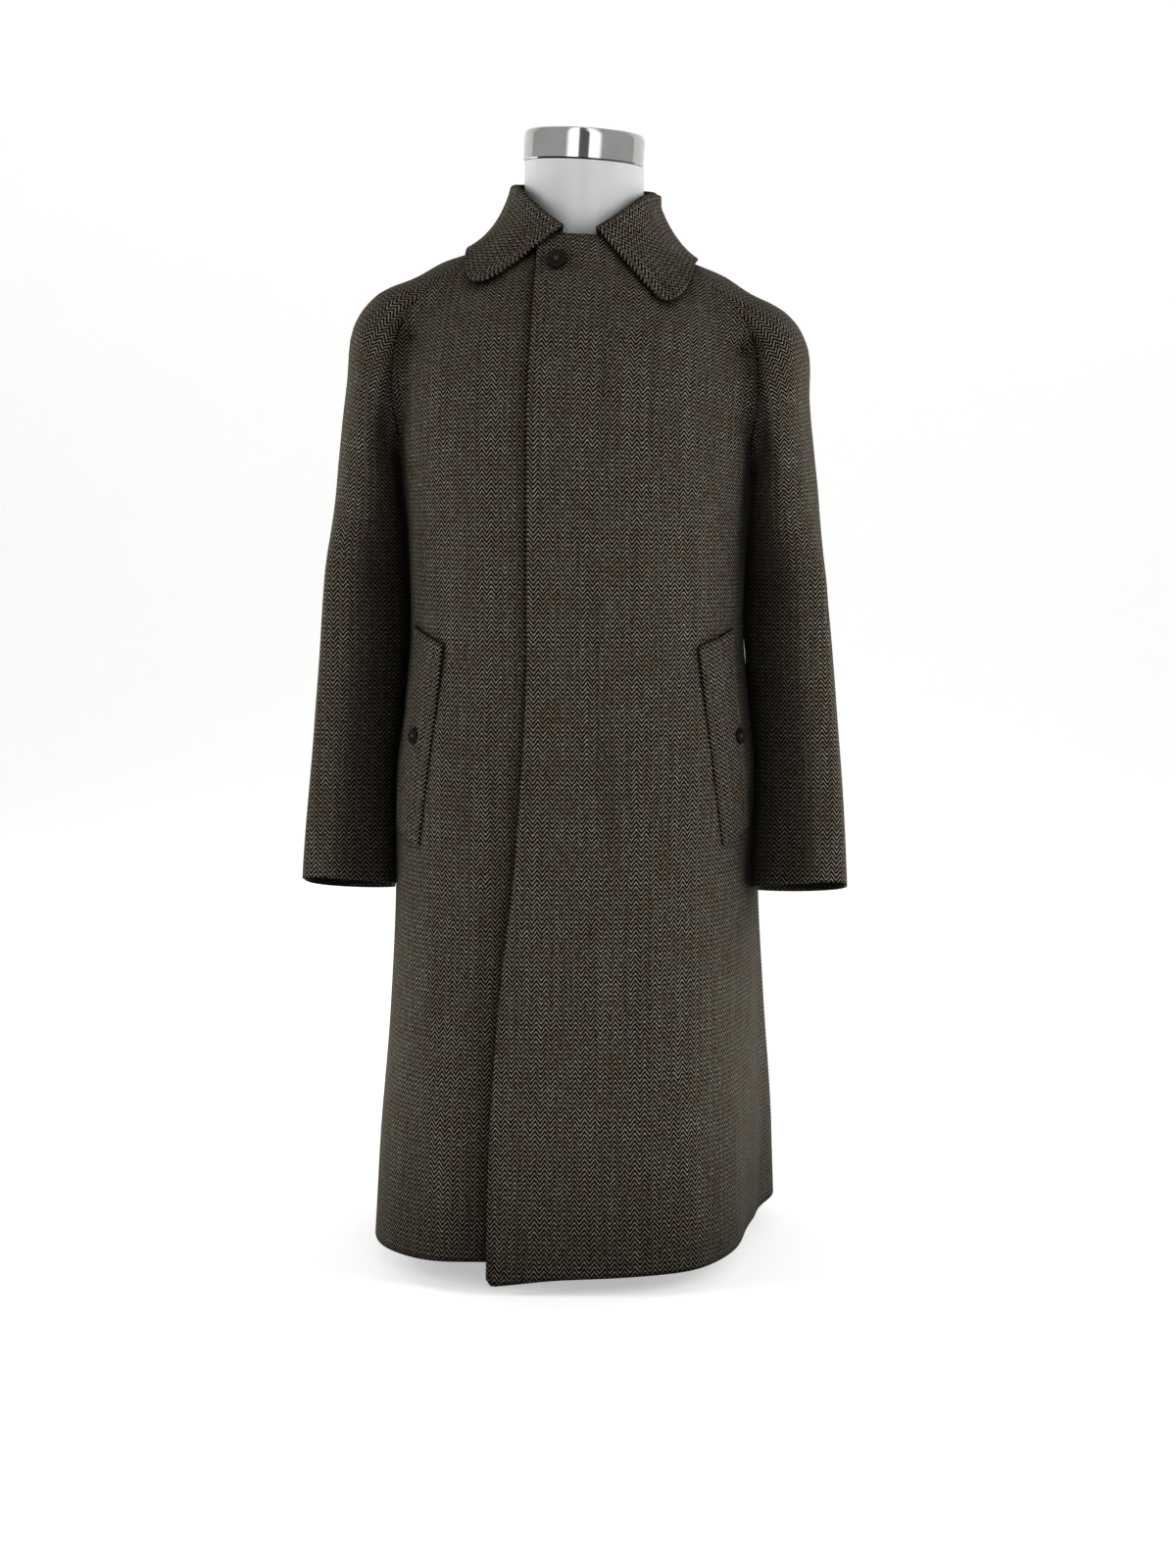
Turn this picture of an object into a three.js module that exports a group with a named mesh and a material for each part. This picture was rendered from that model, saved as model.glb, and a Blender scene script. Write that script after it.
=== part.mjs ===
// A knee-length wool overcoat with raglan sleeves, buttoned at the neck over a hidden fly, worn by a
// limbless torso form on a low stand. Millimetres, +Z up, the floor at z = 0. The coat faces -Y and
// +X is on the right of someone who looks at its front, so +X is the wearer's left.
import * as THREE from "three";

// Driving dimensions.
const CLOTH = 3; // wall of wool cloth with its interlining
const STAND_CLOTH = 2.4; // wall of the collar stand
const WELT_CLOTH = 2.5; // wall of a pocket welt
const SEAM_GAP = 0.3; // between neighbouring pieces
const PANEL_GAP = 0.5; // between panels, whose coarse facets don't follow the seam exactly
const LAYER_GAP = 1; // between the two fronts where they overlap
const SKIN = -0.2; // outer face of the cloth, measured from the garment surface
const FORM_EASE = 1.7; // between the form's shoulders and the cloth that rests on them
const NECKLINE_FRONT = 1062; // height of the neckline at the centre front
const NECKLINE_BACK = 1078; // height of the neckline at the centre back
const DEG = Math.PI / 180;

// The body of the coat in level sections: half width, reach in front of and behind the middle,
// how far back the middle lies, and how square the section is (2 is an ellipse).
const BODY = [
  { z: 0, width: 213, front: 264, back: 150, middle: 58, square: 2.6 },
  { z: 120, width: 209, front: 246, back: 148, middle: 52, square: 2.6 },
  { z: 250, width: 200, front: 216, back: 148, middle: 40, square: 2.6 },
  { z: 380, width: 193, front: 188, back: 150, middle: 24, square: 2.6 },
  { z: 500, width: 191, front: 164, back: 150, middle: 10, square: 2.6 },
  { z: 580, width: 182, front: 152, back: 144, middle: 5, square: 2.6 },
  { z: 650, width: 176, front: 145, back: 138, middle: 2, square: 2.6 },
  { z: 740, width: 178, front: 143, back: 136, middle: 0, square: 2.6 },
  { z: 800, width: 183, front: 144, back: 138, middle: 0, square: 2.6 },
  { z: 860, width: 190, front: 144, back: 141, middle: 0, square: 2.5 },
  { z: 905, width: 190, front: 140, back: 139, middle: 0, square: 2.4 },
  { z: 950, width: 182, front: 131, back: 132, middle: 0, square: 2.3 },
  { z: 990, width: 164, front: 117, back: 119, middle: 0, square: 2.2 },
  { z: 1020, width: 140, front: 102, back: 106, middle: 0, square: 2.1 },
  { z: 1040, width: 115, front: 92, back: 95, middle: 0, square: 2 },
  { z: 1052, width: 97, front: 86, back: 88, middle: 0, square: 2 },
  { z: 1066, width: 81, front: 80, back: 81, middle: 0, square: 2 },
  { z: 1080, width: 76, front: 77, back: 76, middle: 0, square: 2 },
  { z: 1100, width: 74, front: 75, back: 74, middle: 0, square: 2 },
];

// Soft folds of the skirt: where each crest or trough stands round the body (0 is the front),
// its spread, the height where it starts and how far it stands out at the hem.
const FOLDS = [
  { angle: 28, spread: 8, top: 620, out: 6 },
  { angle: 62, spread: 20, top: 640, out: -27 },
  { angle: 84, spread: 11, top: 560, out: -11 },
  { angle: 112, spread: 10, top: 560, out: 6 },
  { angle: -29, spread: 8, top: 560, out: 5 },
  { angle: -43, spread: 19, top: 600, out: 19 },
  { angle: 124, spread: 10, top: 600, out: -7 },
  { angle: 150, spread: 11, top: 640, out: 10 },
  { angle: 180, spread: 9, top: 560, out: -7 },
  { angle: -152, spread: 11, top: 640, out: 9 },
  { angle: -122, spread: 12, top: 600, out: -9 },
];

// The sleeve as a tube from the neck over the shoulder to the cuff: its axis, half width and half depth.
const SLEEVE = [
  { x: 75, y: 8, z: 1036, width: 15, depth: 30 },
  { x: 125, y: 8, z: 1007, width: 24, depth: 54 },
  { x: 166, y: 8, z: 987, width: 27, depth: 70 },
  { x: 196, y: 8, z: 973, width: 30, depth: 79 },
  { x: 207, y: 8, z: 951, width: 34, depth: 85 },
  { x: 208, y: 8, z: 903, width: 36, depth: 88 },
  { x: 212, y: 8, z: 850, width: 37, depth: 88 },
  { x: 218, y: 7, z: 790, width: 36.5, depth: 84 },
  { x: 219.8, y: 5, z: 720, width: 40.7, depth: 80 },
  { x: 222.4, y: 1, z: 640, width: 44.6, depth: 75 },
  { x: 231.2, y: -6, z: 550, width: 43.3, depth: 69 },
  { x: 237.5, y: -19, z: 460, width: 44, depth: 63 },
  { x: 239.5, y: -37, z: 385, width: 45, depth: 58 },
];

// Raglan seams in the front and the back view, from below the neckline down to the armhole.
const RAGLAN_FRONT = [
  { x: 78, z: 1051 },
  { x: 112, z: 1033 },
  { x: 150, z: 1008 },
  { x: 169, z: 987 },
  { x: 183, z: 962 },
  { x: 188, z: 930 },
  { x: 189, z: 895 },
];
const RAGLAN_BACK = [
  { x: 70, z: 1055 },
  { x: 105, z: 1030 },
  { x: 138, z: 1000 },
  { x: 163, z: 965 },
  { x: 178, z: 930 },
  { x: 185, z: 895 },
];
const RAGLAN_FRONT_ANGLE = 48; // where it meets the neckline, round from the front
const RAGLAN_BACK_ANGLE = 142;
const SHOULDER_ANGLE = 92; // where the overarm seam meets the neckline
const OVERARM_ANGLE = 34; // the overarm seam lies this far forward of the sleeve's outer line
const CREASE_TOP = 862; // the armhole crease runs from the armpit up to here

// Front edges: x of each front's free edge, in its own mirrored frame, by height.
const OVERLAP_EDGE = [
  { z: 0, x: -79 },
  { z: 130, x: -77 },
  { z: 275, x: -69 },
  { z: 450, x: -51 },
  { z: 650, x: -42 },
  { z: 1100, x: -42 },
];
const UNDERLAP_EDGE = [
  { z: 0, x: -34 },
  { z: 1100, x: -34 },
];
const OVERLAP_FADE = [50, 150]; // the upper front comes back to the body surface between these x
const OVERLAP_HEM = [
  { angle: -18, z: 6 },
  { angle: -13, z: 10 },
  { angle: 0, z: 17 },
  { angle: 20, z: 20.5 },
  { angle: 60, z: 25 },
  { angle: 104, z: 28 },
];
const UNDERLAP_HEM = [
  { angle: -10, z: 33 },
  { angle: 25, z: 29 },
  { angle: 50, z: 26 },
  { angle: 104, z: 24 },
];
const BACK_HEM = [28, 24];
const HEM_CORNER = 3; // radius of the front hem corner

// Side seam: how far round from the front, by height.
const SIDE_SEAM = [
  { z: 0, angle: 104 },
  { z: 300, angle: 100 },
  { z: 650, angle: 94 },
  { z: 800, angle: 92 },
];

// Collar: height of the stand at the roll line and the leaf's outer edge, round from the front.
const COLLAR_FRONT = 13; // the collar starts this many degrees from the centre front
const COLLAR_FOLD = 3.2; // radius of the roll line
const COLLAR_LEAN = 0.1; // the stand leans in by this share of its height
const COLLAR_TIP = 17; // radius of the rounded tip
const COLLAR = [
  { angle: 13, height: 9, x: 90, y: -101, z: 986, lift: 13 },
  { angle: 25, height: 19, x: 106, y: -80, z: 1006, lift: 12 },
  { angle: 41, height: 32, x: 115, y: -52, z: 1030, lift: 9 },
  { angle: 60, height: 43, x: 118, y: -26, z: 1042, lift: 6 },
  { angle: 90, height: 46, x: 118, y: 12, z: 1044, lift: 4.5 },
  { angle: 120, height: 46, x: 102, y: 58, z: 1042, lift: 4.5 },
  { angle: 150, height: 45, x: 58, y: 90, z: 1042, lift: 4.5 },
  { angle: 180, height: 44, x: 0, y: 100, z: 1042, lift: 4.5 },
  { angle: 210, height: 45, x: -58, y: 90, z: 1042, lift: 4.5 },
  { angle: 240, height: 46, x: -102, y: 58, z: 1042, lift: 4.5 },
  { angle: 270, height: 46, x: -118, y: 12, z: 1044, lift: 4.5 },
  { angle: 300, height: 43, x: -118, y: -26, z: 1042, lift: 6 },
  { angle: 319, height: 32, x: -116, y: -52, z: 1032, lift: 9 },
  { angle: 335, height: 19, x: -111, y: -74, z: 1014, lift: 12 },
  { angle: 347, height: 9, x: -101, y: -92, z: 999, lift: 13 },
];
const COLLAR_CLEAR = 2.8; // least height of the leaf's middle above the coat
const COLLAR_SAG = 7; // the leaf dips this far between the roll line and its outer edge

// Slanted pocket welts, on the body surface of each front.
const WELT_TOP = { x: 129, z: 642 };
const WELT_BOTTOM = { x: 155, z: 436 };
const WELT_WIDTH = 54;
const WELT_RISE = 17; // the outer end stands higher than the inner one
const POCKET_BUTTON = { left: 169, right: 160, z: 547, radius: 7.8, thick: 3 };
const NECK_BUTTON = { x: -21, z: 1033, radius: 10, thick: 3.6 };

// The torso form in level sections, and its neck, cap and stand.
const TORSO = [
  { z: 396, width: 128, front: 84, back: 92, square: 2.2 },
  { z: 402, width: 148, front: 98, back: 106, square: 2.2 },
  { z: 422, width: 160, front: 108, back: 116, square: 2.2 },
  { z: 500, width: 171, front: 122, back: 128, square: 2.2 },
  { z: 590, width: 160, front: 114, back: 112, square: 2.2 },
  { z: 680, width: 150, front: 108, back: 104, square: 2.2 },
  { z: 780, width: 164, front: 122, back: 112, square: 2.3 },
  { z: 850, width: 176, front: 130, back: 122, square: 2.3 },
  { z: 890, width: 188, front: 124, back: 124, square: 2.2 },
  { z: 930, width: 203, front: 108, back: 118, square: 2 },
  { z: 960, width: 212, front: 92, back: 106, square: 2 },
  { z: 985, width: 214, front: 82, back: 94, square: 2 },
  { z: 1005, width: 205, front: 74, back: 84, square: 2 },
  { z: 1020, width: 172, front: 70, back: 78, square: 2 },
  { z: 1034, width: 136, front: 68, back: 74, square: 2 },
  { z: 1048, width: 104, front: 66, back: 70, square: 2 },
  { z: 1064, width: 78, front: 65, back: 66, square: 2 },
  { z: 1084, width: 66, front: 64, back: 64, square: 2 },
  { z: 1110, width: 63, front: 63, back: 63, square: 2 },
  { z: 1141.7, width: 63, front: 63, back: 63, square: 2 },
];
const CAP = { radius: 64, at: 1142, high: 33, round: 4 };
const POLE = { radius: 16, at: 12.3, high: 365.4 };
const SOCKET = { radius: 34, at: 378, high: 17.7 };
const BASE = { radius: 130, at: 0, high: 12, round: 3, back: 46 };

// The form stands a little askew: its upper part leans to +X above the hips.
const LEAN = { from: 560, to: 950, tilt: 0.045, neck: 0.015, shift: -7 };

// Middle of the whole part seen from above, which becomes the origin.
const MIDDLE = { x: -7, y: 1 };

const clamp = (v, low, high) => Math.min(high, Math.max(low, v));
const mix = (a, b, t) => a + (b - a) * t;
const smoothstep = (low, high, v) => {
  const t = clamp((v - low) / (high - low), 0, 1);
  return t * t * (3 - 2 * t);
};

// A smooth curve through the rows of a table: one column as a function of another.
function column(rows, key, name) {
  const xs = rows.map((row) => row[key]);
  const ys = rows.map((row) => row[name]);
  const last = xs.length - 1;
  const slopes = xs.slice(1).map((x, i) => (ys[i + 1] - ys[i]) / (x - xs[i]));
  const tangents = xs.map((_, i) => {
    if (i === 0) return slopes[0];
    if (i === last) return slopes[last - 1];
    const [before, after] = [slopes[i - 1], slopes[i]];
    return before * after <= 0 ? 0 : (2 * before * after) / (before + after);
  });
  return (value) => {
    const x = clamp(value, xs[0], xs[last]);
    let i = 0;
    while (i < last - 1 && x > xs[i + 1]) i++;
    const span = xs[i + 1] - xs[i];
    const t = (x - xs[i]) / span;
    const [t2, t3] = [t * t, t * t * t];
    return (
      (2 * t3 - 3 * t2 + 1) * ys[i] +
      (t3 - 2 * t2 + t) * span * tangents[i] +
      (3 * t2 - 2 * t3) * ys[i + 1] +
      (t3 - t2) * span * tangents[i + 1]
    );
  };
}

// A stack of level sections as functions of height, with the radius of a section in a direction.
function sections(rows) {
  const [width, front, back, square] = ["width", "front", "back", "square"].map((name) =>
    column(rows, "z", name),
  );
  const middle = rows[0].middle === undefined ? () => 0 : column(rows, "z", "middle");
  const radius = (angle, z) => {
    const power = square(z);
    const reach = Math.cos(angle) > 0 ? front(z) : back(z);
    const across = Math.abs(Math.sin(angle)) / width(z);
    const along = Math.abs(Math.cos(angle)) / reach;
    return Math.pow(Math.pow(across, power) + Math.pow(along, power), -1 / power);
  };
  return { middle, radius };
}

const body = sections(BODY);

// How far the skirt's folds stand out at an angle and height.
function foldsAt(angle, z) {
  let out = 0;
  for (const fold of FOLDS) {
    const turn = Math.atan2(Math.sin(angle - fold.angle * DEG), Math.cos(angle - fold.angle * DEG));
    const across = turn / (fold.spread * DEG);
    const down = clamp((fold.top - z) / fold.top, 0, 1);
    out += fold.out * Math.exp(-across * across) * Math.pow(down, 1.3);
  }
  return out;
}

const bodyRadius = (angle, z) => body.radius(angle, z) + foldsAt(angle, z);

// The point of the body surface in a direction from its middle, at a height.
function bodyPoint(angle, z) {
  const r = bodyRadius(angle, z);
  return new THREE.Vector3(r * Math.sin(angle), body.middle(z) - r * Math.cos(angle), z);
}

// Signed distance from the body surface, positive outside.
function bodyDistance(p) {
  const dy = p.y - body.middle(p.z);
  const angle = Math.atan2(p.x, -dy);
  const slope = bodyRadius(angle, p.z + 1) - bodyRadius(angle, p.z - 1);
  return (Math.hypot(p.x, dy) - bodyRadius(angle, p.z)) / Math.hypot(1, slope / 2);
}

// The sleeve's axis in steps, with the frame and size of its section at each step.
const AXIS_STEPS = 60;
const SLEEVE_SQUARE = 2.3;
const SLEEVE_SKEW = 0.9;
const SLEEVE_TURN = 0.42;
const SLEEVE_FADE = [700, 800];
const axis = new THREE.CatmullRomCurve3(
  SLEEVE.map((row) => new THREE.Vector3(row.x, row.y, row.z)),
  false,
  "centripetal",
);
const sleeveRows = SLEEVE.map((row, i) => ({ ...row, at: i / (SLEEVE.length - 1) }));
const [sleeveWidth, sleeveDepth] = ["width", "depth"].map((name) => column(sleeveRows, "at", name));
const axisSteps = Array.from({ length: AXIS_STEPS + 1 }, (_, i) => {
  const at = i / AXIS_STEPS;
  const tangent = axis.getTangent(at);
  const out = new THREE.Vector3(-tangent.z, 0, tangent.x).normalize();
  const back = out.clone().cross(tangent);
  return { centre: axis.getPoint(at), tangent, out, back, width: sleeveWidth(at), depth: sleeveDepth(at) };
});

// The sleeve's section at a place between two steps, from 0 at the neck to 1 at the cuff.
function sleeveSection(at) {
  const place = clamp(at, 0, 1) * AXIS_STEPS;
  const i = Math.min(Math.floor(place), AXIS_STEPS - 1);
  const [a, b, t] = [axisSteps[i], axisSteps[i + 1], place - i];
  const between = (name) => a[name].clone().lerp(b[name], t);
  return {
    centre: between("centre"),
    tangent: between("tangent").normalize(),
    out: between("out").normalize(),
    back: between("back").normalize(),
    width: mix(a.width, b.width, t),
    depth: mix(a.depth, b.depth, t),
  };
}

// The radius of a sleeve section in a direction; 0 points out, 90 degrees to the front. Below the
// armpit the empty sleeve's front is fuller on the outside and falls away flat towards the body.
function sleeveRadius(section, angle) {
  const across = Math.abs(Math.cos(angle)) / section.width;
  const along = Math.abs(Math.sin(angle)) / section.depth;
  const hung = 1 - smoothstep(...SLEEVE_FADE, section.centre.z);
  const power = SLEEVE_SQUARE + (Math.sin(angle) > 0 ? SLEEVE_SKEW * hung * Math.sin(2 * angle) : 0);
  return Math.pow(Math.pow(across, power) + Math.pow(along, power), -1 / power);
}

// How far the hanging sleeve's front fold is turned outward, as a share of its half width.
function turnOf(section, fore) {
  const hung = 1 - smoothstep(...SLEEVE_FADE, section.centre.z);
  return SLEEVE_TURN * hung * smoothstep(0, 0.9 * section.depth, fore);
}

function sleevePoint(at, angle, share = 1) {
  const section = sleeveSection(at);
  const r = sleeveRadius(section, angle) * share;
  const [side, fore] = [r * Math.cos(angle), r * Math.sin(angle)];
  const turned = turnOf(section, fore) * section.width * Math.max(0, 1 - (side / section.width) ** 2);
  return section.centre
    .clone()
    .addScaledVector(section.out, side + turned)
    .addScaledVector(section.back, -fore);
}

// Where a point lies along and round the sleeve, and its distance as a share of the radius.
function sleevePlace(p) {
  let [best, at] = [Infinity, 0];
  for (let i = 0; i < AXIS_STEPS; i++) {
    const [a, b] = [axisSteps[i].centre, axisSteps[i + 1].centre];
    const along = b.clone().sub(a);
    const t = clamp(p.clone().sub(a).dot(along) / along.lengthSq(), 0, 1);
    const distance = a.clone().addScaledVector(along, t).distanceTo(p);
    if (distance < best) [best, at] = [distance, (i + t) / AXIS_STEPS];
  }
  const section = sleeveSection(at);
  const from = p.clone().sub(section.centre);
  const [side, fore] = [from.dot(section.out), -from.dot(section.back)];
  const turn = Math.max(turnOf(section, fore), 1e-4);
  const part = side / section.width;
  const unturned = ((1 - Math.sqrt(Math.max(0, 1 - 4 * turn * (part - turn)))) / (2 * turn)) * section.width;
  const straight = Math.abs(part) < 1 ? unturned : side;
  const distance = Math.sqrt(Math.max(0, from.lengthSq() - side * side + straight * straight));
  const angle = Math.atan2(fore, straight);
  const radius = sleeveRadius(section, angle);
  return { at, angle, radius, distance, share: distance / radius };
}

const sleeveDistance = (p) => {
  const place = sleevePlace(p.x < 0 ? new THREE.Vector3(-p.x, p.y, p.z) : p);
  return place.distance - place.radius;
};

// The armpit: the lowest height at which the sleeve still meets the side of the body.
function findArmpit() {
  const nearest = (z) => {
    let best = { distance: Infinity, angle: 0 };
    for (let angle = 70 * DEG; angle <= 110 * DEG; angle += DEG / 2) {
      const distance = sleeveDistance(bodyPoint(angle, z));
      if (distance < best.distance) best = { distance, angle };
    }
    return best;
  };
  let [low, high] = [700, 860];
  for (let i = 0; i < 24; i++) {
    const z = (low + high) / 2;
    if (nearest(z).distance > 0) low = z;
    else high = z;
  }
  return { z: low, angle: nearest(low).angle };
}
const ARMPIT = findArmpit();
const BLEND = 46; // how broadly the sleeve flows into the body at the shoulder

// The garment surface: the body and the sleeve flow into each other above the armpit.
function blended(p) {
  const [a, b] = [bodyDistance(p), sleeveDistance(p)];
  const k = BLEND * smoothstep(ARMPIT.z + 4, 945, p.z) * (1 - smoothstep(1030, 1060, p.z));
  if (k < 0.01) return Math.min(a, b);
  const h = clamp(0.5 + (0.5 * (b - a)) / k, 0, 1);
  return mix(b, a, h) - k * h * (1 - h);
}
const bodySurface = (p) => (p.z > ARMPIT.z ? blended(p) : bodyDistance(p));
const sleeveSurface = (p) => (p.z > ARMPIT.z ? blended(p) : sleeveDistance(p));

const PROBE = 0.4; // half the step used to measure a slope
function gradient(surface, p) {
  const slope = (name) => {
    const [ahead, behind] = [p.clone(), p.clone()];
    ahead[name] += PROBE;
    behind[name] -= PROBE;
    return (surface(ahead) - surface(behind)) / (2 * PROBE);
  };
  return new THREE.Vector3(slope("x"), slope("y"), slope("z"));
}

// Moves a point along the slope of a surface until it lies on it.
function settle(surface, p, rounds = 6) {
  const at = p.clone();
  for (let i = 0; i < rounds; i++) {
    const slope = gradient(surface, at);
    const step = surface(at) / Math.max(slope.lengthSq(), 0.05);
    at.addScaledVector(slope, -clamp(step, -25, 25));
  }
  return at;
}
const normalAt = (surface, p) => gradient(surface, p).normalize();

// The point of the garment seen at x and z from the front (side -1) or from the back (side 1).
function seenPoint(x, z, side) {
  let outside = 220 * side;
  let inside = outside;
  while (blended(new THREE.Vector3(x, inside, z)) > 0 && Math.abs(inside) <= 220) inside -= 4 * side;
  outside = inside + 4 * side;
  for (let i = 0; i < 18; i++) {
    const middle = (outside + inside) / 2;
    if (blended(new THREE.Vector3(x, middle, z)) > 0) outside = middle;
    else inside = middle;
  }
  return new THREE.Vector3(x, inside, z);
}

// Where the armhole crease lies at a height, in front of (side -1) or behind (side 1) the sleeve.
function creasePoint(z, side) {
  let [inside, outside] = [ARMPIT.angle, ARMPIT.angle + side * 50 * DEG];
  for (let i = 0; i < 24; i++) {
    const middle = (inside + outside) / 2;
    if (sleeveDistance(bodyPoint(middle, z)) < 0) inside = middle;
    else outside = middle;
  }
  return bodyPoint(inside, z);
}

const necklineHeight = (angle) =>
  mix(NECKLINE_FRONT, NECKLINE_BACK, (1 - Math.cos(angle)) / 2);
const necklinePoint = (angle) => bodyPoint(angle, necklineHeight(angle));

// A raglan seam, from the neckline down to the armpit, in even steps.
const RAGLAN_STEPS = 13;
function raglanSeam(rows, angle, side) {
  const crease = [0.8, 0.55, 0.3, 0.1].map((share) =>
    creasePoint(mix(ARMPIT.z, CREASE_TOP, share * share), side),
  );
  const points = [
    necklinePoint(angle * DEG),
    ...rows.map((row) => seenPoint(row.x, row.z, side)),
    ...crease,
    bodyPoint(ARMPIT.angle, ARMPIT.z),
  ];
  const curve = new THREE.CatmullRomCurve3(points, false, "centripetal");
  return curve.getSpacedPoints(RAGLAN_STEPS).map((p, i, all) => {
    if (i === 0 || i === all.length - 1) return p;
    const share = smoothstep(ARMPIT.z + 3, ARMPIT.z + 30, p.z) * (1 - smoothstep(1050, 1062, p.z));
    return share === 0 ? p : p.clone().lerp(settle(blended, p), share);
  });
}
const raglanFront = raglanSeam(RAGLAN_FRONT, RAGLAN_FRONT_ANGLE, -1);
const raglanBack = raglanSeam(RAGLAN_BACK, RAGLAN_BACK_ANGLE, 1);

// A patch between four boundary lines, each a list of numbers per point: a Coons patch.
function patch(low, high, first, last) {
  const [rows, columns] = [first.length - 1, low.length - 1];
  return first.map((_, j) =>
    low.map((_, i) => {
      const [u, v] = [i / columns, j / rows];
      return low[0].map(
        (_, c) =>
          (1 - u) * first[j][c] + u * last[j][c] + (1 - v) * low[i][c] + v * high[i][c] -
          (1 - u) * (1 - v) * low[0][c] - u * (1 - v) * low[columns][c] -
          (1 - u) * v * high[0][c] - u * v * high[columns][c],
      );
    }),
  );
}
const steps = (count, value) => Array.from({ length: count + 1 }, (_, i) => value(count ? i / count : 0));

// A closed wall from a grid of surface points with normals: between two depths below the surface.
function wall(grid, { outer = SKIN, thickness = CLOTH, side = 1 } = {}) {
  const [rows, columns] = [grid.length, grid[0].length];
  const places = grid.map((row) => row.map((cell) => cell.point.clone()));
  // Moves a boundary cell into the panel, square to the boundary and to its normal.
  const draw = (j, i, inward, before, after) => {
    const { point, normal } = grid[j][i];
    const along = after.point.clone().sub(before.point);
    const move = normal.clone().cross(along).setLength(PANEL_GAP / 2);
    if (move.dot(inward.point.clone().sub(point)) < 0) move.negate();
    places[j][i].add(move);
  };
  grid.forEach((row, j) =>
    row.forEach((cell, i) => {
      const [up, down] = [grid[Math.min(j + 1, rows - 1)][i], grid[Math.max(j - 1, 0)][i]];
      const [left, right] = [row[Math.max(i - 1, 0)], row[Math.min(i + 1, columns - 1)]];
      if (j === 0) draw(j, i, up, left, right);
      if (j === rows - 1) draw(j, i, down, left, right);
      if (i === 0) draw(j, i, right, down, up);
      if (i === columns - 1) draw(j, i, left, down, up);
    }),
  );
  const positions = [];
  for (const depth of [0, thickness]) {
    grid.forEach((row, j) =>
      row.forEach((cell, i) => {
        const raise = outer + (cell.raise || 0) - depth;
        const place = places[j][i].clone().addScaledVector(cell.normal, raise);
        positions.push(...leaning(handed(place, side)).toArray());
      }),
    );
  }
  const inner = rows * columns;
  const triangles = [];
  const quad = (a, b, c, d) => triangles.push(a, b, c, a, c, d);
  const at = (j, i) => j * columns + i;
  for (let j = 0; j < rows - 1; j++)
    for (let i = 0; i < columns - 1; i++) {
      const corners = [at(j, i), at(j, i + 1), at(j + 1, i + 1), at(j + 1, i)];
      const [p, q, r, s] = [grid[j][i], grid[j][i + 1], grid[j + 1][i + 1], grid[j + 1][i]];
      if (p.point.distanceTo(r.point) > q.point.distanceTo(s.point)) corners.push(corners.shift());
      quad(...corners);
      quad(...corners.reverse().map((corner) => inner + corner));
    }
  const rim = [];
  for (let i = 0; i < columns; i++) rim.push(at(0, i));
  for (let j = 1; j < rows; j++) rim.push(at(j, columns - 1));
  for (let i = columns - 2; i >= 0; i--) rim.push(at(rows - 1, i));
  for (let j = rows - 2; j > 0; j--) rim.push(at(j, 0));
  // Facing edges of two panels are split along the same diagonal, so that they stay apart.
  const order = (i) => positions[3 * i + 2] + 0.3 * Math.abs(positions[3 * i]);
  rim.forEach((a, i) => {
    const b = rim[(i + 1) % rim.length];
    if (order(a) > order(b)) quad(a, inner + a, inner + b, b);
    else quad(b, a, inner + a, inner + b);
  });
  return solid(positions, triangles);
}

// An indexed geometry from points and triangles, its faces turned to point out.
function solid(positions, triangles) {
  const corner = (i) => new THREE.Vector3().fromArray(positions, 3 * triangles[i]);
  let volume = 0;
  for (let i = 0; i < triangles.length; i += 3) {
    volume += corner(i).dot(corner(i + 1).cross(corner(i + 2)));
  }
  const geometry = new THREE.BufferGeometry();
  geometry.setAttribute("position", new THREE.Float32BufferAttribute(positions, 3));
  geometry.setIndex(volume > 0 ? triangles : triangles.reverse());
  geometry.computeVertexNormals();
  return geometry;
}

// The lean of the upper part, applied to every point last.
function leaning(p) {
  const up = smoothstep(LEAN.from, LEAN.to, p.z);
  const tilt = LEAN.tilt * up + LEAN.neck * smoothstep(LEAN.to, 1100, p.z);
  const shift = LEAN.shift * (1 - smoothstep(860, 1080, p.z));
  return new THREE.Vector3(p.x + shift, p.y, p.z - tilt * p.x);
}

// The direction from the body's middle in which a height's section has a given x.
function angleOfX(x, z, side = 1) {
  let angle = Math.asin(clamp(x / 200, -1, 1));
  for (let i = 0; i < 30; i++) angle = Math.asin(clamp(x / bodyRadius(side * angle, z), -0.999, 0.999));
  return angle;
}

// A point of a body panel from its direction and height, on the garment surface.
function bodyCell([angle, z]) {
  const guess = bodyPoint(angle, z);
  const near = z > ARMPIT.z + 2 && z < 1058;
  const point = near ? settle(bodySurface, guess) : guess;
  const own = normalAt(bodyDistance, point);
  const shared = near ? normalAt(blended, point) : own;
  return { point, normal: own.lerp(shared, smoothstep(ARMPIT.z, ARMPIT.z + 30, z)).normalize() };
}
const placeOf = (p) => [Math.atan2(p.x, body.middle(p.z) - p.y), p.z];

const SIDE_STEPS = 15;
const sideAngle = column(SIDE_SEAM, "z", "angle");
function sideSeam(hem) {
  return steps(SIDE_STEPS, (t) => {
    const z = mix(hem, ARMPIT.z, t);
    return [mix(sideAngle(z) * DEG, ARMPIT.angle, smoothstep(650, ARMPIT.z, z)), z];
  });
}

// How far the upper front stands off the garment surface at x.
const overlapRaise = (x) => (CLOTH + LAYER_GAP) * (1 - smoothstep(...OVERLAP_FADE, x));

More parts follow.
